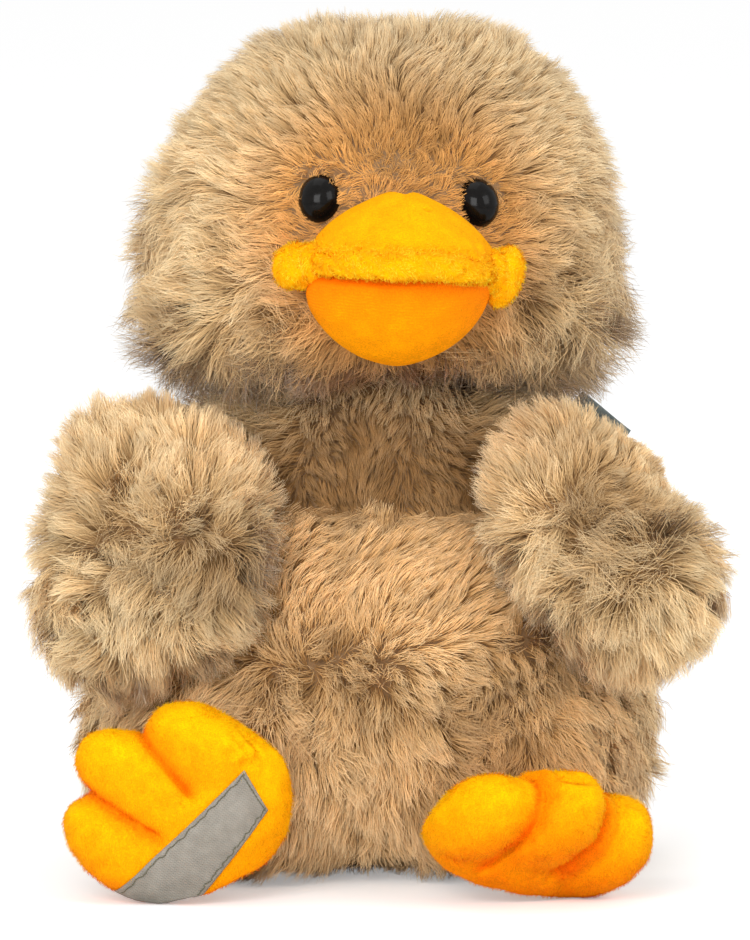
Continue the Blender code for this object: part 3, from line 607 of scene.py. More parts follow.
# Tail: a small stuffed nub of the same plush, turned up behind the seat.
low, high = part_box("tail_skin")
tail_middle = Vector((0, low.y * 0.35 + high.y * 0.65, (low.z + high.z) / 2))
tail_bag = plush_bag("tail_plush", "tail_skin", tail_middle, 0.0055)
at, out = points_of(tail_bag.data)
carry(
    tail_bag, way=laid_over(np.array((0, 1.0, 0.25)) + 0.4 * swirls(at, 0.02, 9), out),
    length=0.012, lean=0.95, cover=ramp(at[:, 1], 0.052, 0.060), warm=0, deep=0,
)
tail_hairs = grow_pile(
    tail_bag, "tail_pile", plush, Hairs_per_square_metre=2.4e6, Locks_per_square_metre=150000.0,
    Gathering=0.45, Ruffle=0.35, Frizz=0.3, Hair_width=0.0002, Seed=17,
)
tail_bag.data.materials.append(backing)
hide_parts("tail_skin", "tail_filling")
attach(tail_bag, "body")
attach(tail_hairs, "body")

# Head: a full round bag of the same plush, set firmly with fibre, short in the pile by the bill
# and the eyes, where it is tinted orange, and long and gathered in locks on the cheeks.
head_turn = Euler((0, math.radians(2.0), math.radians(5.5))).to_matrix().to_4x4()
head_place = Matrix.Translation((0, 0.004, 0.138)) @ head_turn
head_middle = head_place @ Vector((0, 0, 0.0560))
bill_at = np.array(head_place @ Vector((0, -0.040, 0.046)))
eye_spots, eye_hole = [], 0.0125
for eye in ("right_eye", "left_eye"):
    low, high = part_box(eye)
    eye_spots.append((Vector(((low.x + high.x) / 2, low.y, (low.z + high.z) / 2)), eye_hole))


def by_the_eyes(points, reach):
    return np.clip(sum(near(points, spot[0], reach) for spot in eye_spots), 0, 1)


def head_set_in(points):
    """The pile stands tallest on the cheeks and not at all under the eyes. The crown leans left a little."""
    apart = np.linalg.norm(points - bill_at, axis=1)
    sunk = 0.0018 + 0.0027 * ramp(apart, 0.021, 0.034) + 0.0030 * ramp(apart, 0.036, 0.060)
    crown = ramp(points[:, 2], 0.185, 0.215)
    sunk += crown * (0.0012 * ramp(-points[:, 0], 0.005, 0.045) - 0.0030 * ramp(points[:, 0], 0.005, 0.040))
    sunk += 0.0022 * ramp(points[:, 0], 0.060, 0.080) * (1 - crown)
    round_eye = ramp(by_the_eyes(points, 0.0135), 0.05, 0.45)
    return sunk * (1 - round_eye) - 0.0014 * round_eye


bill_spots = [(head_place @ Vector((0, -0.046, rise)), 0.015) for rise in (0.050, 0.038, 0.026)]
head_bag = plush_bag(
    "head_plush", "head_skin", head_middle, head_set_in, bill_spots + eye_spots,
    ("right_eye_washer", "left_eye_washer"),
)
at, out = points_of(head_bag.data)
apart = np.linalg.norm(at - bill_at, axis=1)
away = (at - bill_at) / apart[:, None]
way = away + down * ((0.30 + 0.9 * ramp(at[:, 1], -0.01, 0.03)) * ramp(apart, 0.02, 0.06))[:, None]
cheek = ramp(-at[:, 2], -0.205, -0.170)
way = way + (0.30 + 0.40 * cheek)[:, None] * swirls(at, 0.026, 5)
crown = ramp(at[:, 2], 0.195, 0.220)
eyes = ramp(by_the_eyes(at, 0.0135), 0.04, 0.5)
length = 0.0055 + 0.0085 * ramp(apart, 0.018, 0.056) - 0.0015 * crown
length += 0.0075 * ramp(-at[:, 2], -0.176, -0.150)
length = length * (1 - 0.45 * eyes)
for spot, _ in eye_spots:
    inward = np.array(spot) - at
    off = np.linalg.norm(inward, axis=1)
    lash = np.exp(-(((off - 0.0090) / 0.0030) ** 2)) * ramp(-inward[:, 2], -0.006, 0.004)
    way = way + 2.2 * inward / off[:, None] * lash[:, None]
brow = near(at, np.array(head_place @ Vector((0, -0.050, 0.072))), 0.020)
shady = ramp(at[:, 0], 0.020, 0.060) * ramp(-at[:, 2], -0.215, -0.190)
way = laid_over(way, out)
# Painted shade in the darker mark: the duck's left side of the head, and the bottom of the face above the chest.
# It is also darker at the brow, by the bill on the duck's left, on the crown and in patches on the cheeks.
carry(
    head_bag, way=way, length=length,
    lean=1.15 - 0.30 * ramp(apart, 0.02, 0.06) - 0.10 * crown - 0.40 * opening(at, way) * (apart > 0.03),
    cover=1 - np.exp(-((apart / 0.012) ** 2)), matted=0.85 + 0.70 * cheek - 0.40 * crown + 1.0 * brow,
    warm=np.clip(0.82 * np.exp(-((np.maximum(apart - 0.026, 0) / 0.012) ** 2)) + 0.25 * eyes, 0, 0.88),
    deep=np.clip(
        0.34 * brow + 0.18 * np.exp(-((apart / 0.036) ** 4)) * ramp(at[:, 0], -0.01, 0.03)
        + 0.30 * cheek * ramp(lumps(at, 0.016, 8), 0.1, 0.6) + 0.20 * crown + 0.14 * shady
        + 0.30 * ramp(-at[:, 2], -0.168, -0.148) * ramp(-at[:, 1], -0.01, 0.02), 0, 0.8,
    ),
)
head_hairs = grow_pile(
    head_bag, "head_pile", plush, Hairs_per_square_metre=3.1e6, Locks_per_square_metre=130000.0,
    Gathering=0.60, Ruffle=0.42, Frizz=0.28, Curl=0.08, Tuft_size=0.008, Tuft_stray=0.50,
    Hair_width=0.00018, Seed=21,
)
head_bag.data.materials.append(backing)
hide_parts("head_skin", "head_filling")
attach(head_bag, "head")
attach(head_hairs, "head")

# Wings: two bags of the same plush, longer in the pile, sewn on at the shoulder. Each ends in two
# round lobes, and its pile stands away from partings where the lobes meet.
def wing_set_in(points):
    """The pile is short where the wing leaves the body. The left wing drops away from its shoulder."""
    shoulder = ramp(points[:, 2], 0.096, 0.140)
    outer = ramp(points[:, 0], 0.050, 0.072) * ramp(points[:, 2], 0.098, 0.118)
    left = 0.0056 * outer
    high = ramp(points[:, 2], 0.085, 0.105)
    right = 0.0022 * high * ramp(-points[:, 0], 0.062, 0.082)
    right = right - 0.0028 * (1 - high) * ramp(-points[:, 0], 0.078, 0.090)
    return 0.0068 - 0.0058 * shoulder + left - right


for side, name, partings in (
    (-1, "right_wing", (((-0.079, -0.055, 0.110), (-0.060, -0.066, 0.095), 0.020),
                        ((-0.042, -0.060, 0.098), (-0.040, -0.062, 0.094), 0.012))),
    (1, "left_wing", (((0.055, -0.050, 0.117), (0.058, -0.052, 0.113), 0.016),
                      ((0.077, -0.058, 0.105), (0.064, -0.066, 0.088), 0.016))),
):
    low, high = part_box(name + "_filling")
    middle = (low + high) / 2
    bag = plush_bag(name + "_plush", name + "_skin", middle, wing_set_in)
    at, out = points_of(bag.data)
    heart = np.array((middle.x - side * 0.006, middle.y - 0.012, middle.z + 0.014))
    top = ramp(at[:, 2], 0.100, 0.114)
    way = (at - heart) * 22 + down * (0.9 * (1 - top))[:, None] + 0.6 * swirls(at, 0.026, 7 + side)
    way = way + np.array((0.5 * side, 1.5, 0.5)) * top[:, None]
    pull = 0
    for start, end, reach in partings:
        off, felt = parted(at, start, end, reach)
        way = way + 1.5 * off
        pull = pull + felt
    lobes = ramp(-at[:, 2], -0.105, -0.075)
    flat_top = ramp(at[:, 0], 0.052, 0.066) * ramp(at[:, 2], 0.098, 0.112)
    woolly = near(at, heart + (0, -0.02, 0), 0.022)
    way = laid_over(way, out)
    # Painted shade in the darker mark, in the partings between the lobes. The patches where the pile is woolly are
    # darker in tone.
    carry(
        bag, way=way, length=(0.0132 + 0.0030 * lobes) * (1 - 0.45 * flat_top),
        lean=0.95 - np.maximum(0.50 * np.clip(pull, 0, 1), 0.55 * opening(at, way)) + 0.25 * flat_top,
        cover=1, warm=0.10 * top,
        matted=1.0 - 0.40 * top + 1.0 * woolly,
        deep=np.clip(0.35 * pull**2 + 0.35 * woolly * ramp(lumps(at, 0.010, 33), 0, 0.5), 0, 0.6),
    )
    hairs = grow_pile(
        bag, name + "_pile", plush, Hairs_per_square_metre=4.4e6, Locks_per_square_metre=105000.0,
        Gathering=0.62, Ruffle=0.48, Frizz=0.28, Curl=0.10, Tuft_size=0.008, Tuft_stray=0.60,
        Hair_width=0.00018, Seed=31 + side,
    )
    bag.data.materials.append(backing)
    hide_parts(name + "_skin", name + "_filling")
    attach(bag, name)
    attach(hairs, name)

# Bill: orange velour over fibre. The upper half is a dome with a turned, furry yellow rim that
# swells into a lobe at each corner of the mouth, and the lower half is a full pouch under it.
class Mass:
    """One rounded stuffed mass: its centre, half sizes, depth below its centre and squareness."""

    def __init__(self, centre, halves, under=None, square=2.0):
        self.centre, self.halves, self.square = np.array(centre), np.array(halves), square
        self.under = halves[2] if under is None else under

    def depth(self, points):
        local = points - self.centre
        height = np.where(local[:, 2] < 0, self.under, self.halves[2])
        flat = np.hypot(local[:, 0] / self.halves[0], local[:, 1] / self.halves[1])
        power = self.square
        return (flat**power + np.abs(local[:, 2] / height) ** power) ** (1 / power)


def sag(x):
    return 0.0032 * ramp(x, 0.006, 0.026) + 0.0014 * ramp(-x, 0.012, 0.026)


class Rim(Mass):
    """A roll that follows an oval, and sags at its ends, the duck's left one most."""

    def depth(self, points):
        local = points - self.centre
        local[:, 2] += sag(local[:, 0])
        ring = np.hypot(local[:, 0] / self.halves[0], local[:, 1] / self.halves[1])
        off = (ring - 1) * min(self.halves[0], self.halves[1])
        return np.hypot(off, local[:, 2]) / self.halves[2]


def stuffed_reach(middle, ways, masses, sharpness):
    """How far cloth pulled over the masses lies from the middle, along each way."""
    near_end, far_end = np.zeros(len(ways)), np.full(len(ways), 0.08)
    for _ in range(26):
        half = (near_end + far_end) / 2
        points = middle + ways * half[:, None]
        inside = sum(np.exp(sharpness * (1 - mass.depth(points))) for mass in masses) >= 1
        near_end, far_end = np.where(inside, half, near_end), np.where(inside, far_end, half)
    return near_end


def stuffed_piece(name, node, place, middle, masses, sharpness, detail, shape, spare, look, extra=()):
    """A sewn, stuffed piece in its own frame, kept near its CAD solid and off the table."""
    ways, faces, links = even_net(detail)
    reach = stuffed_reach(np.array(middle), ways, masses, sharpness)
    reach = shape(np.array(middle) + ways * reach[:, None], reach)
    turn = np.array(place.to_3x3())
    most = evened(skin_reach(node, place @ Vector(middle), ways @ turn.T), links, 6)
    most = most + spare(np.array(middle) + ways * most[:, None])
    reach = np.minimum(reach, most)
    local = np.array(middle) + ways * reach[:, None]
    points = local @ turn.T + np.array(place.translation)
    points[:, 2] = np.maximum(points[:, 2], 0.0003)
    for centre, halves, lean in extra:
        ways, more, _ = even_net(5)
        tilt = np.array(Euler((0, math.radians(lean), 0)).to_matrix())
        lobe = (ways * halves) @ tilt.T + np.array(centre)
        lobe += ways * 0.0003 * lumps(lobe, 0.005, 19)[:, None]
        faces = np.concatenate([faces, more + len(points)])
        local = np.concatenate([local, lobe])
        points = np.concatenate([points, lobe @ turn.T + np.array(place.translation)])
    return new_piece(name, points, faces, look), local


def velour_grain_group():
    """Short dense pile: fine flecks, soft brushed patches, and the height of both."""
    tree = bpy.data.node_groups.new("velour grain", "ShaderNodeTree")
    do = Wiring(tree)
    do.socket("Fleck size", "Float", 0.0005)
    do.socket("Patch size", "Float", 0.006)
    do.socket("Shade", "Color", way="OUTPUT")
    do.socket("Height", "Float", way="OUTPUT")
    given = tree.nodes.new("NodeGroupInput").outputs
    at = do.add("ShaderNodeTexCoord", out=3)
    fine = do.add("ShaderNodeTexNoise", at, do.sums("DIVIDE", 1.0, given["Fleck size"]), 2.0, 0.6)
    soft = do.add("ShaderNodeTexNoise", at, do.sums("DIVIDE", 1.0, given["Patch size"]), 3.0, 0.5)
    shade = do.sums("MULTIPLY", do.spread(fine, 0.74, 1.14, 0.3, 0.7), do.spread(soft, 0.88, 1.08, 0.3, 0.7))
    out = tree.nodes.new("NodeGroupOutput")
    do.put(out.inputs[0], do.add("ShaderNodeCombineColor", shade, shade, shade))
    do.put(out.inputs[1], do.sums("ADD", fine, do.sums("MULTIPLY", soft, 0.5)))
    return tree


velour_grain = velour_grain_group()


def velour_look(name, bright, plain, deep, fleck=0.0005, patch=0.006):
    """Velour: brighter where marked, with painted light on its tops and lit sides and the yellow of the bill's
    rim; deep orange where marked, with painted shade in its creases, dents and undersides.
    """
    look, do, shader = new_look(name, 0.85, Specular_IOR_Level=0.06)
    grain = do.group(velour_grain, Fleck_size=fleck, Patch_size=patch)
    colour = do.blended("MIX", do.mark("crown"), (*plain, 1), (*bright, 1))
    colour = do.blended("MIX", do.mark("crease"), colour, (*deep, 1))
    do.put(shader.inputs["Base Color"], do.blended("MULTIPLY", 1.0, colour, grain["Shade"]))
    do.put(shader.inputs["Normal"], do.bumped(grain["Height"], strength=0.5, distance=0.0002))
    return look


upper_velour = velour_look("upper bill velour", (1.0, 0.48, 0.0), (1.0, 0.40, 0.0), (1.0, 0.22, 0.0))
lower_velour = velour_look("lower bill velour", (1.0, 0.365, 0.0), (1.0, 0.295, 0.0), (0.95, 0.15, 0.0))
do = Wiring(lower_velour.node_tree)
shader = lower_velour.node_tree.nodes["Principled BSDF"]
was = shader.inputs["Base Color"].links[0].from_socket
ribs = do.sums("SINE", do.sums("MULTIPLY", do.mark("rib_height"), math.tau / 0.0009))
ribs = do.sums("MULTIPLY", do.spread(ribs, 0.0, 0.6, -1.0, 1.0), do.mark("ribs"))
do.put(shader.inputs["Base Color"], do.blended("MIX", ribs, was, (0.86, 0.20, 0.0, 1)))
rim_hair = hair_look(
    "rim pile", ((0.0, (1.0, 0.44, 0.0)), (1.0, (1.0, 0.82, 0.06)), (0.5, (1.0, 0.62, 0.01))),
    warm=(1, 0.4, 0), deep=(1.0, 0.32, 0.0), lock_spread=0.10, hair_spread=0.14, gloss=0.05, bloom=0.0,
)
mouth = np.array((0, -0.060, 0.0427))
upper_masses = (
    Mass(mouth, (0.0264, 0.0335, 0.0184), 0.004, 1.47),
    Rim(mouth - (0, 0, 0.0002), (0.0238, 0.0322, 0.0040)),
)
lobes = (
    ((-0.0300, -0.0040, -0.0036), (0.0064, 0.0078, 0.0066), 0),
    ((-0.0254, -0.0060, -0.0024), (0.0058, 0.0078, 0.0058), 0),
    ((0.0290, -0.0040, -0.0050), (0.0052, 0.0076, 0.0088), 16),
    ((0.0254, -0.0060, -0.0038), (0.0050, 0.0078, 0.0064), 8),
)


def upper_shape(points, reach):
    x, y, z = (points - mouth).T
    top = ramp(z, 0.004, 0.009)
    reach = reach - 0.00035 * np.exp(-(((x - 0.0006) / 0.0005) ** 2)) * top
    reach = reach - 0.0016 * np.exp(-((x - 0.001) ** 2 + (y - 0.002) ** 2) / 0.0016**2) * ramp(z, 0.014, 0.018)
    reach = reach - 0.0009 * np.exp(-((x - 0.0058) ** 2 + (y + 0.013) ** 2) / 0.0009**2) * top
    roll = np.exp(-((z / 0.0055) ** 4))
    pleats = lumps(points * (0.35, 0.35, 1.0), 0.0026, 4) + 0.6 * lumps(points, 0.005, 14)
    return reach + roll * 0.00055 * pleats


def upper_spare(points):
    x, y, z = (points - mouth).T
    corner = 0.0050 * ramp(x, 0.010, 0.024) + 0.0042 * ramp(-x, 0.018, 0.026)
    return 0.0008 + corner * ramp(-z, -0.001, 0.004) * ramp(-y, -0.010, 0.004)


upper_bill, local = stuffed_piece(
    "upper_bill", "upper_bill_skin", head_place, mouth + (0, -0.008, 0.004), upper_masses, 17.0, 6,
    upper_shape, upper_spare, upper_velour,
    [(mouth + np.array(centre), halves, lean) for centre, halves, lean in lobes],
)
x, y, z = (local - mouth).T
at, out = points_of(upper_bill.data)
z = z + sag(x)
is_lobe = np.arange(len(x)) >= len(even_net(6)[0])
roll = np.exp(-(((z + 0.0008) / 0.0052) ** 4)) * ramp(-y, -0.012, 0.000)
roll = np.where(is_lobe, 0.8, roll)
under = ramp(-z, 0.0030, 0.0050) * (1 - is_lobe)
dent_shade = np.exp(-((x - 0.0058) ** 2 + (y + 0.013) ** 2) / 0.0008**2) * (z > 0.003)
groove = np.exp(-(((z - 0.0052) / 0.0010) ** 2)) * ramp(-y, 0.006, 0.02)
# Brighter where marked: painted light on top of the dome, and the yellow of the rim and its lobes. Painted shade
# where marked darker: in the dent, in the groove above the rim and under the rim, and in deeper orange streaks on
# the rim hair, painted as the shade of its pleats.
carry(
    upper_bill, crown=ramp(z, 0.004, 0.014) * 0.4 + roll * 0.6,
    crease=np.clip(dent_shade + 0.2 * groove + 0.7 * under, 0, 1),
    way=laid_over(np.array((0.4, 0, -1.0)) + 1.3 * swirls(at, 0.004, 6), out), length=0.0013,
    lean=0.95, cover=roll * (1 - under), matted=1, warm=0,
    deep=np.clip(0.55 * ramp(lumps(local * (0.3, 0.3, 1.0), 0.0028, 44), 0.15, 0.6) + 0.5 * under, 0, 1),
)
upper_hairs = grow_pile(
    upper_bill, "upper_bill_pile", rim_hair, Hairs_per_square_metre=4.0e6,
    Locks_per_square_metre=900000.0, Gathering=0.5, Ruffle=0.5, Frizz=0.3, Curl=0.1,
    Hair_width=0.00013, Tuft_size=0.002, Tuft_stray=0.5, Seed=41,
)
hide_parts("upper_bill_skin", "upper_bill_filling")
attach(upper_bill, "head")
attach(upper_hairs, "head")

pouch_top = mouth - (0, 0, 0.0040)
lower_bill, local = stuffed_piece(
    "lower_bill", "lower_bill_skin", head_place, pouch_top - (0, 0.008, 0.010),
    (Mass(pouch_top - (0.0010, 0, 0), (0.0278, 0.0300, 0.0050), 0.0272, 1.85),), 60.0, 6,
    lambda points, reach: reach + 0.00012 * lumps(points, 0.008, 5), lambda points: 0.0034, lower_velour,
)
x, y, z = (local - mouth).T
# Painted light brightens the pouch towards its bottom and the duck's right side, and painted shade darkens its
# top, under the rim of the upper bill.
shaded = np.exp(-((np.maximum(-z - 0.003, 0) / 0.0065) ** 2))
carry(
    lower_bill, crown=0.75 * ramp(-z, 0.014, 0.030) + 0.25 * ramp(-x, 0.0, 0.020), crease=0.85 * shaded,
    ribs=ramp(z, -0.022, -0.010), rib_height=z + 0.0003 * lumps(local, 0.004, 71),
)
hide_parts("lower_bill_skin", "lower_bill_filling")
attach(lower_bill, "head")

# Eyes: domed black plastic with a clear polish. Each is the CAD solid, drawn finer, and its lock
# washer is moulded white plastic behind the cloth.
eye_black, do, shader = new_look("eye plastic", 0.08, Specular_IOR_Level=0.13)
scuff = do.add("ShaderNodeTexNoise", do.add("ShaderNodeTexCoord", out=3), 900.0, 2.0)
do.put(shader.inputs["Base Color"], do.blended("MIX", scuff, (0.002, 0.0018, 0.0018, 1), (0.006, 0.005, 0.004, 1)))
do.put(shader.inputs["Roughness"], do.spread(scuff, 0.10, 0.20, 0.3, 0.7))
washer_white, do, shader = new_look("washer plastic", 0.42, IOR=1.5)
mould = do.add("ShaderNodeTexNoise", do.add("ShaderNodeTexCoord", out=3), 400.0, 2.0)
do.put(shader.inputs["Base Color"], do.blended("MIX", mould, (0.72, 0.72, 0.70, 1), (0.82, 0.82, 0.80, 1)))
for name in ("right_eye", "left_eye"):
    bm = bmesh.new()
    bm.from_mesh(nodes[name].data)
    bmesh.ops.remove_doubles(bm, verts=bm.verts, dist=0.00001)
    bmesh.ops.join_triangles(bm, faces=bm.faces, angle_face_threshold=0.9, angle_shape_threshold=1.5)
    mesh = bpy.data.meshes.new(name + "_polished")
    bm.to_mesh(mesh)
    bm.free()
    mesh.shade_smooth()
    mesh.materials.append(eye_black)
    eye = bpy.data.objects.new(name + "_polished", mesh)
    bpy.context.collection.objects.link(eye)
    finer = eye.modifiers.new("finer", "SUBSURF")
    finer.levels = finer.render_levels = 2
    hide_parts(name)
    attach(eye, "head")
    nodes[name + "_washer"].data.materials.clear()
    nodes[name + "_washer"].data.materials.append(washer_white)

# Feet: three toes and a heel cut in one from orange velour, a sole and a top sewn round the edge
# and through between the toes, then stuffed. The right sole faces the front, the left is tipped.
foot_velour = velour_look("foot velour", (1.0, 0.54, 0.0), (1.0, 0.40, 0.0), (1.0, 0.16, 0.0), 0.00045, 0.0035)
foot_hair = hair_look(
    "foot pile", ((0.0, (1.0, 0.36, 0.0)), (1.0, (1.0, 0.58, 0.01)), (0.5, (1.0, 0.46, 0.0))),
    warm=(1.0, 0.62, 0.0), deep=(1.0, 0.20, 0.0), lock_spread=0.10, hair_spread=0.22, gloss=0.05, bloom=0.0,
)
ribbon_far, ribbon_near, ribbon_slant = -0.0208, -0.0054, 0.147
toes_up = Matrix(((-1, 0, 0), (0, 0, 1), (0, 1, 0)))


heel = Mass((0.0005, -0.0110, 0), (0.0285, 0.0205, 0.0150))
right_toes = (
    heel,
    Mass((0.0205, 0.0030, 0), (0.0112, 0.0200, 0.0130), square=2.3),
    Mass((0.0032, 0.0080, 0), (0.0130, 0.0234, 0.0132), square=2.3),
    Mass((-0.0156, -0.0002, 0), (0.0118, 0.0202, 0.0134), square=2.3),
    Mass((0.0118, 0.0030, 0), (0.0100, 0.0180, 0.0118), square=2.3),
    Mass((-0.0074, 0.0028, 0), (0.0092, 0.0188, 0.0118), square=2.3),
)
left_toes = (
    heel,
    Mass((0.0215, -0.0015, -0.0020), (0.0100, 0.0165, 0.0115), 0.0110, square=2.2),
    Mass((0.0052, 0.0062, 0), (0.0122, 0.0218, 0.0134), square=2.3),
    Mass((-0.0178, 0.0030, 0), (0.0122, 0.0205, 0.0132), square=2.3),
    Mass((0.0138, 0.0015, 0), (0.0080, 0.0150, 0.0104), square=2.3),
    Mass((-0.0066, 0.0040, 0), (0.0094, 0.0180, 0.0116), square=2.3),
)


def off_seam(points, seam):
    """How far points lie to the side of the seam between two toes, and whether it runs that far back."""
    at_heel, slant, back = seam
    y = points[:, 1]
    return points[:, 0] - (at_heel + slant * y), ramp(y, back - 0.002, back + 0.005)


def foot_spare(points):
    """The toes stand free in front of the body, so they may be fuller than the solid there."""
    free = ramp(-points[:, 2], -0.005, 0.001)
    return 0.0007 + free * (0.0023 + 0.0052 * ramp(points[:, 1], 0.000, 0.010))


feet = {}
for name, x, y, z, swing, tip, seed, toes, seams in (
    ("right_foot", -0.0555, -0.0760, 0.02898, -53, 4, 51, right_toes,
     ((0.0112, 0.08, -0.0030), (-0.0056, -0.20, -0.0032))),
    ("left_foot", 0.0465, -0.0800, 0.02048, 42, 57, 61, left_toes,
     ((0.0144, 0.06, -0.0120), (-0.0050, -0.02, -0.0030))),
):
    turn = Euler((math.radians(tip), 0, 0)).to_matrix() @ Euler((0, math.radians(swing), 0)).to_matrix() @ toes_up
    place = Matrix.Translation((x, y, z)) @ turn.to_4x4()

    def foot_shape(points, reach):
        for seam in seams:
            off, along = off_seam(points, seam)
            reach = reach - 0.0030 * along * np.exp(-np.abs(off / 0.0014) ** 1.3)
        pucker = near(points, (-0.0225, -0.0050, -0.010), 0.006) * (seed == 51)
        return reach + 0.00025 * lumps(points, 0.009, 12) + pucker * (0.0010 + 0.0009 * lumps(points, 0.004, 3))

    foot, local = stuffed_piece(
        name + "_velour", name + "_skin", place, (0, 0, 0), toes, 18.0, 6, foot_shape, foot_spare,
        foot_velour,
    )
    at, out = points_of(foot.data)
    # Painted shade in the seams between the toes and on the undersides, with a few darker patches, and the left
    # foot a little more orange all over.
    crease = 0
    for seam in seams:
        off, along = off_seam(local, seam)
        wedge = np.where(off < 0, 0.0032, 0.0018)
        crease = crease + along * np.exp(-np.abs(off / wedge) ** 1.3)
    edge = np.exp(-((local[:, 2] / 0.0028) ** 2))
    under = ramp(-out[:, 2], 0.15, 0.9)
    crease = np.clip(0.8 * crease + 0.45 * under + (0.0 if seed == 51 else 0.05), 0, 0.95)
    crease = np.clip(crease + 0.07 * ramp(lumps(local, 0.0045, 21), 0.1, 0.6), 0, 0.95)
    # Painted light on faces turned up, and a paler band along the edge, partly its seam and partly painted sheen;
    # the foot pile is painted lighter there through its warm tint.
    crown = np.clip(ramp(out[:, 2], -0.1, 0.8) + 0.6 * edge, 0, 1) * (0.9 if seed == 51 else 0.8)
    covered = 0
    if name == "right_foot":
        near_edge = ribbon_near + ribbon_slant * local[:, 0]
        covered = (local[:, 1] < near_edge - 0.0004) & (local[:, 1] > -0.0204) & (local[:, 2] < -0.002)
    carry(
        foot, crown=crown, crease=crease,
        way=laid_over(down + 0.8 * swirls(at, 0.010, seed), out), length=0.0012, lean=0.9,
        cover=1.0 - covered, warm=0.5 * crown, deep=crease,
    )
    hairs = grow_pile(
        foot, name + "_pile", foot_hair, Hairs_per_square_metre=2.6e6, Locks_per_square_metre=400000.0,
        Gathering=0.3, Ruffle=0.4, Frizz=0.35, Hair_width=0.00014, Bends=2, Seed=seed,
    )
    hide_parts(name + "_skin", name + "_filling")
    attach(foot, name)
    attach(hairs, name)
    feet[name] = (foot, place)


# Ribbon: grey woven satin laid flat across the right sole, its ends caught in the edge seam and
# its long sides held by a dark running stitch. It carries no words.
def cloth_grid(name, points, warp, weft, look, thickness):
    """A sheet from rows of points, which carries how far along and across each one was cut."""
    rows, columns = points.shape[:2]
    index = np.arange(rows * columns).reshape(rows, columns)
    faces = np.stack([index[:-1, :-1], index[:-1, 1:], index[1:, 1:], index[1:, :-1]], -1).reshape(-1, 4)
    sheet = new_piece(name, points.reshape(-1, 3), faces, look)
    carry(sheet, warp=warp.ravel(), weft=weft.ravel())
    wall = sheet.modifiers.new("thickness", "SOLIDIFY")
    wall.thickness, wall.offset = thickness, 0
    return sheet


def weave_group():
    """Threads over and under each other, from how far along and across the cloth a point is."""
    tree = bpy.data.node_groups.new("weave", "ShaderNodeTree")
    do = Wiring(tree)
    do.socket("Warp pitch", "Float", 0.0004)
    do.socket("Weft pitch", "Float", 0.0004)
    do.socket("Shade", "Color", way="OUTPUT")
    do.socket("Height", "Float", way="OUTPUT")
    given = tree.nodes.new("NodeGroupInput").outputs
    waves = []
    for mark, pitch in (("warp", given["Warp pitch"]), ("weft", given["Weft pitch"])):
        turns = do.sums("MULTIPLY", do.sums("DIVIDE", do.mark(mark), pitch), math.tau)
        waves.append(do.sums("SINE", turns))
    height = do.sums("ADD", do.sums("MULTIPLY", waves[0], waves[1]), do.sums("MULTIPLY", waves[1], 0.6))
    uneven = do.add("ShaderNodeTexNoise", do.add("ShaderNodeTexCoord", out=3), 350.0, 3.0)
    shade = do.sums("MULTIPLY", do.spread(height, 0.84, 1.10, -1.6, 1.6), do.spread(uneven, 0.88, 1.08, 0.3, 0.7))
    out = tree.nodes.new("NodeGroupOutput")
    do.put(out.inputs[0], do.add("ShaderNodeCombineColor", shade, shade, shade))
    do.put(out.inputs[1], height)
    return tree


weave = weave_group()


def woven_look(name, colour, worn, warp_pitch, weft_pitch, roughness, **settings):
    look, do, shader = new_look(name, roughness, **settings)
    threads = do.group(weave, Warp_pitch=warp_pitch, Weft_pitch=weft_pitch)
    stain = do.add("ShaderNodeTexNoise", do.add("ShaderNodeTexCoord", out=3), 120.0, 3.0)
    tone = do.blended("MIX", do.spread(stain, 0.0, 1.0, 0.35, 0.65), (*colour, 1), (*worn, 1))
    do.put(shader.inputs["Base Color"], do.blended("MULTIPLY", 1.0, tone, threads["Shade"]))
    do.put(shader.inputs["Normal"], do.bumped(threads["Height"], strength=0.6, distance=0.0001))
    return look


satin = woven_look(
    "grey satin", (0.268, 0.243, 0.203), (0.297, 0.273, 0.233), 0.0008, 0.0007, 0.55,
    Specular_IOR_Level=0.3,
)
foot, place = feet["right_foot"]
sole = BVHTree.FromPolygons(
    [vert.co for vert in foot.data.vertices], [tuple(face.vertices) for face in foot.data.polygons]
)
aim = (place.to_3x3() @ Vector((0, 0, 1))).normalized()


def on_sole(x, y, lift):
    """The place on the sole under a point of the foot's own flat pattern, lifted clear of it."""
    start = place @ Vector((x, y, -0.05))
    hit = sole.ray_cast(start, aim, 0.05)
    return None if hit[0] is None else hit[0] - aim * lift


def sole_side(y, side):
    """How far the sole reaches to one side."""
    x = 0
    while on_sole(x + side * 0.0005, y, 0) is not None:
        x += side * 0.0005
    return x - side * 0.0004


ribbon_rows, ribbon_columns = 25, 97
ribbon_vs = np.linspace(0, 1, ribbon_rows)
ribbon_ends = [sole_side(ribbon_far * (1 - v) + ribbon_near * v + 0.0038 * v, 1) for v in ribbon_vs]


def on_ribbon(u, v, lift):
    """A place on the ribbon: u runs from its slanted inner end to the edge of the sole, v across it."""
    x = -(0.0148 + 0.0055 * v) * (1 - u) + float(np.interp(v, ribbon_vs, ribbon_ends)) * u
    y = ribbon_far * (1 - v) + (ribbon_near + ribbon_slant * x) * v
    ripple = 0.00016 * math.sin(x * 1900 + 3 * v) * (abs(v - 0.5) * 2) ** 2
    ripple = ripple + 0.00010 * math.sin(x * 700 + 5 * v)
    return on_sole(x, y, lift + ripple), x, y


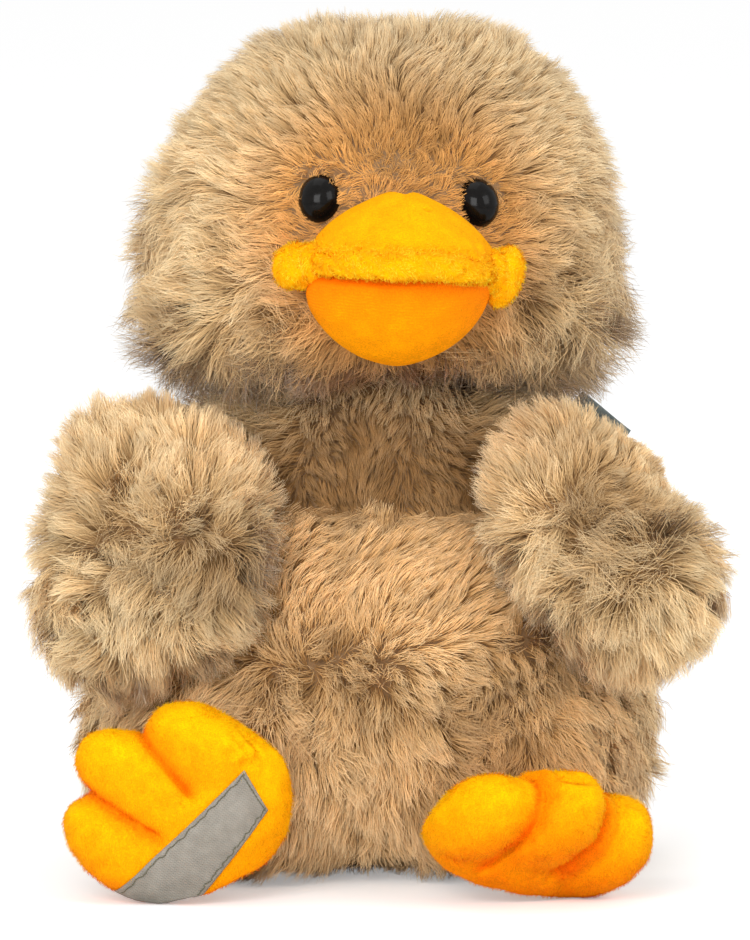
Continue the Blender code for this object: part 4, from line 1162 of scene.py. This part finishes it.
ribbon_points = np.zeros((ribbon_rows, ribbon_columns, 3))
ribbon_warp = np.zeros((ribbon_rows, ribbon_columns))
ribbon_weft = np.zeros((ribbon_rows, ribbon_columns))
for i, v in enumerate(ribbon_vs):
    for j in range(ribbon_columns):
        spot, x, y = on_ribbon(j / (ribbon_columns - 1), v, 0.0006)
        ribbon_points[i, j] = spot or ribbon_points[i, j - 1]
        ribbon_warp[i, j], ribbon_weft[i, j] = y, x
ribbon = cloth_grid("sole_ribbon", ribbon_points, ribbon_warp, ribbon_weft, satin, 0.0003)
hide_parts("foot_ribbon")
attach(ribbon, "right_foot")


def stitch_tree():
    """A running stitch: short rounded threads laid end to end along a line of points."""
    tree = bpy.data.node_groups.new("running stitch", "GeometryNodeTree")
    do = Wiring(tree)
    keys = {}
    for name, kind, default in (
        ("Geometry", "Geometry", None), ("Stitch pitch", "Float", 0.0016),
        ("Stitch length", "Float", 0.0012), ("Thread radius", "Float", 0.0002),
        ("Slant", "Float", 0.2), ("Seed", "Int", 1), ("Material", "Material", None),
    ):
        keys[name] = do.socket(name, kind, default)
    do.socket("Geometry", "Geometry", way="OUTPUT")
    given = tree.nodes.new("NodeGroupInput").outputs
    line = do.add("GeometryNodeMeshToCurve", given["Geometry"])
    spots, tangent = do.add(
        "GeometryNodeCurveToPoints", line, given["Stitch pitch"], out=(0, 1), mode="LENGTH"
    )
    node = tree.nodes.new("FunctionNodeRandomValue")
    node.data_type = "FLOAT_VECTOR"
    tree.links.new(given["Seed"], node.inputs["Seed"])
    stray = do.arrow("SUBTRACT", [o for o in node.outputs if o.enabled][0], (0.5, 0.5, 0.5))
    aim = do.arrow("ADD", tangent, do.scaled(stray, given["Slant"]))
    turn = do.add("FunctionNodeAlignRotationToVector", None, 1.0, aim, axis="Z")
    thread = do.add("GeometryNodeMeshUVSphere", 8, 6, 1.0)
    half = do.sums("MULTIPLY", given["Stitch length"], 0.5)
    size = do.add("ShaderNodeCombineXYZ", given["Thread radius"], given["Thread radius"], half)
    sewn = do.add("GeometryNodeInstanceOnPoints", spots, None, thread, None, None, turn, size)
    sewn = do.add("GeometryNodeRealizeInstances", sewn)
    sewn = do.add("GeometryNodeSetMaterial", sewn, True, given["Material"])
    tree.links.new(sewn, tree.nodes.new("NodeGroupOutput").inputs[0])
    return tree, keys


stitch, stitch_keys = stitch_tree()
thread_look, do, shader = new_look("dark thread", 0.7)
twist = do.add("ShaderNodeTexNoise", do.add("ShaderNodeTexCoord", out=3), 2500.0, 2.0)
do.put(shader.inputs["Base Color"], do.blended("MIX", twist, (0.06, 0.055, 0.03, 1), (0.16, 0.15, 0.09, 1)))


def sew(name, lines, body, **sizes):
    """Stitches along lines of points, as one plain mesh."""
    points = np.concatenate(lines)
    edges, start = [], 0
    for line in lines:
        edges += [(start + i, start + i + 1) for i in range(len(line) - 1)]
        start += len(line)
    mesh = bpy.data.meshes.new(name + "_line")
    mesh.from_pydata(points.tolist(), edges, [])
    run = bpy.data.objects.new(name + "_line", mesh)
    bpy.context.collection.objects.link(run)
    modifier = run.modifiers.new("stitch", "NODES")
    modifier.node_group = stitch
    modifier[stitch_keys["Material"]] = thread_look
    for key, value in sizes.items():
        modifier[stitch_keys[key.replace("_", " ")]] = value
    run.update_tag()
    bpy.context.view_layer.update()
    graph = bpy.context.evaluated_depsgraph_get()
    made = bpy.data.meshes.new_from_object(run.evaluated_get(graph), depsgraph=graph)
    made.shade_smooth()
    bpy.data.objects.remove(run)
    sewn = bpy.data.objects.new(name, made)
    bpy.context.collection.objects.link(sewn)
    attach(sewn, body)
    return sewn


sewn_at = [
    [
        on_ribbon(u, row + 0.022 * math.sin(61 * u) * math.sin(17 * u), 0.0009)[0]
        for u in np.linspace(0.02, 0.97, 90)
    ]
    for row in (0.07, 0.93)
]
sewn_at.append([on_ribbon(0.02, v, 0.0009)[0] for v in np.linspace(0.07, 0.93, 16)])
ribbon_sewing = sew(
    "sole_ribbon_stitches", [np.array([spot for spot in line if spot]) for line in sewn_at],
    "right_foot", Stitch_pitch=0.0011, Stitch_length=0.0012, Thread_radius=0.00018, Slant=0.5, Seed=7,
)

# Side label: a narrow blue-grey woven tape, folded in two, its ends sewn into the seam behind the
# left wing, so that the fold stands out past the wing.
label_look = woven_look("blue-grey tape", (0.130, 0.160, 0.158), (0.205, 0.235, 0.222), 0.0007, 0.0007, 0.85)
label_length, label_width, label_gap = 0.0265, 0.0180, 0.0009
label_root, label_tilt = np.array((0.0496, 0.0240, 0.1065)), math.radians(50.5)
run_out = np.array((math.cos(label_tilt), 0, math.sin(label_tilt)))
run_up = np.array((-math.sin(label_tilt), 0, math.cos(label_tilt)))
label_rows, label_columns = 81, 25
label_points = np.zeros((label_rows, label_columns, 3))
label_warp = np.zeros((label_rows, label_columns))
label_weft = np.zeros((label_rows, label_columns))
for i in range(label_rows):
    t = 2 * i / (label_rows - 1) - 1
    out_to = label_length * (1 - abs(t))
    bulge = label_gap * math.copysign(1 - max(0, 1 - abs(t) * 9) ** 2, t) if t else 0
    for j in range(label_columns):
        w = (j / (label_columns - 1) - 0.5) * label_width
        bend = 0.0016 * math.sin(out_to * 130 + w * 60) + 0.0009 * math.sin(w * 300)
        label_points[i, j] = label_root + run_out * out_to + run_up * w + np.array((0, 1, 0)) * (bulge + bend)
        label_warp[i, j], label_weft[i, j] = t * label_length, w
label = cloth_grid("side_tape", label_points, label_warp, label_weft, label_look, 0.0004)
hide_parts("side_label")
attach(label, "body")
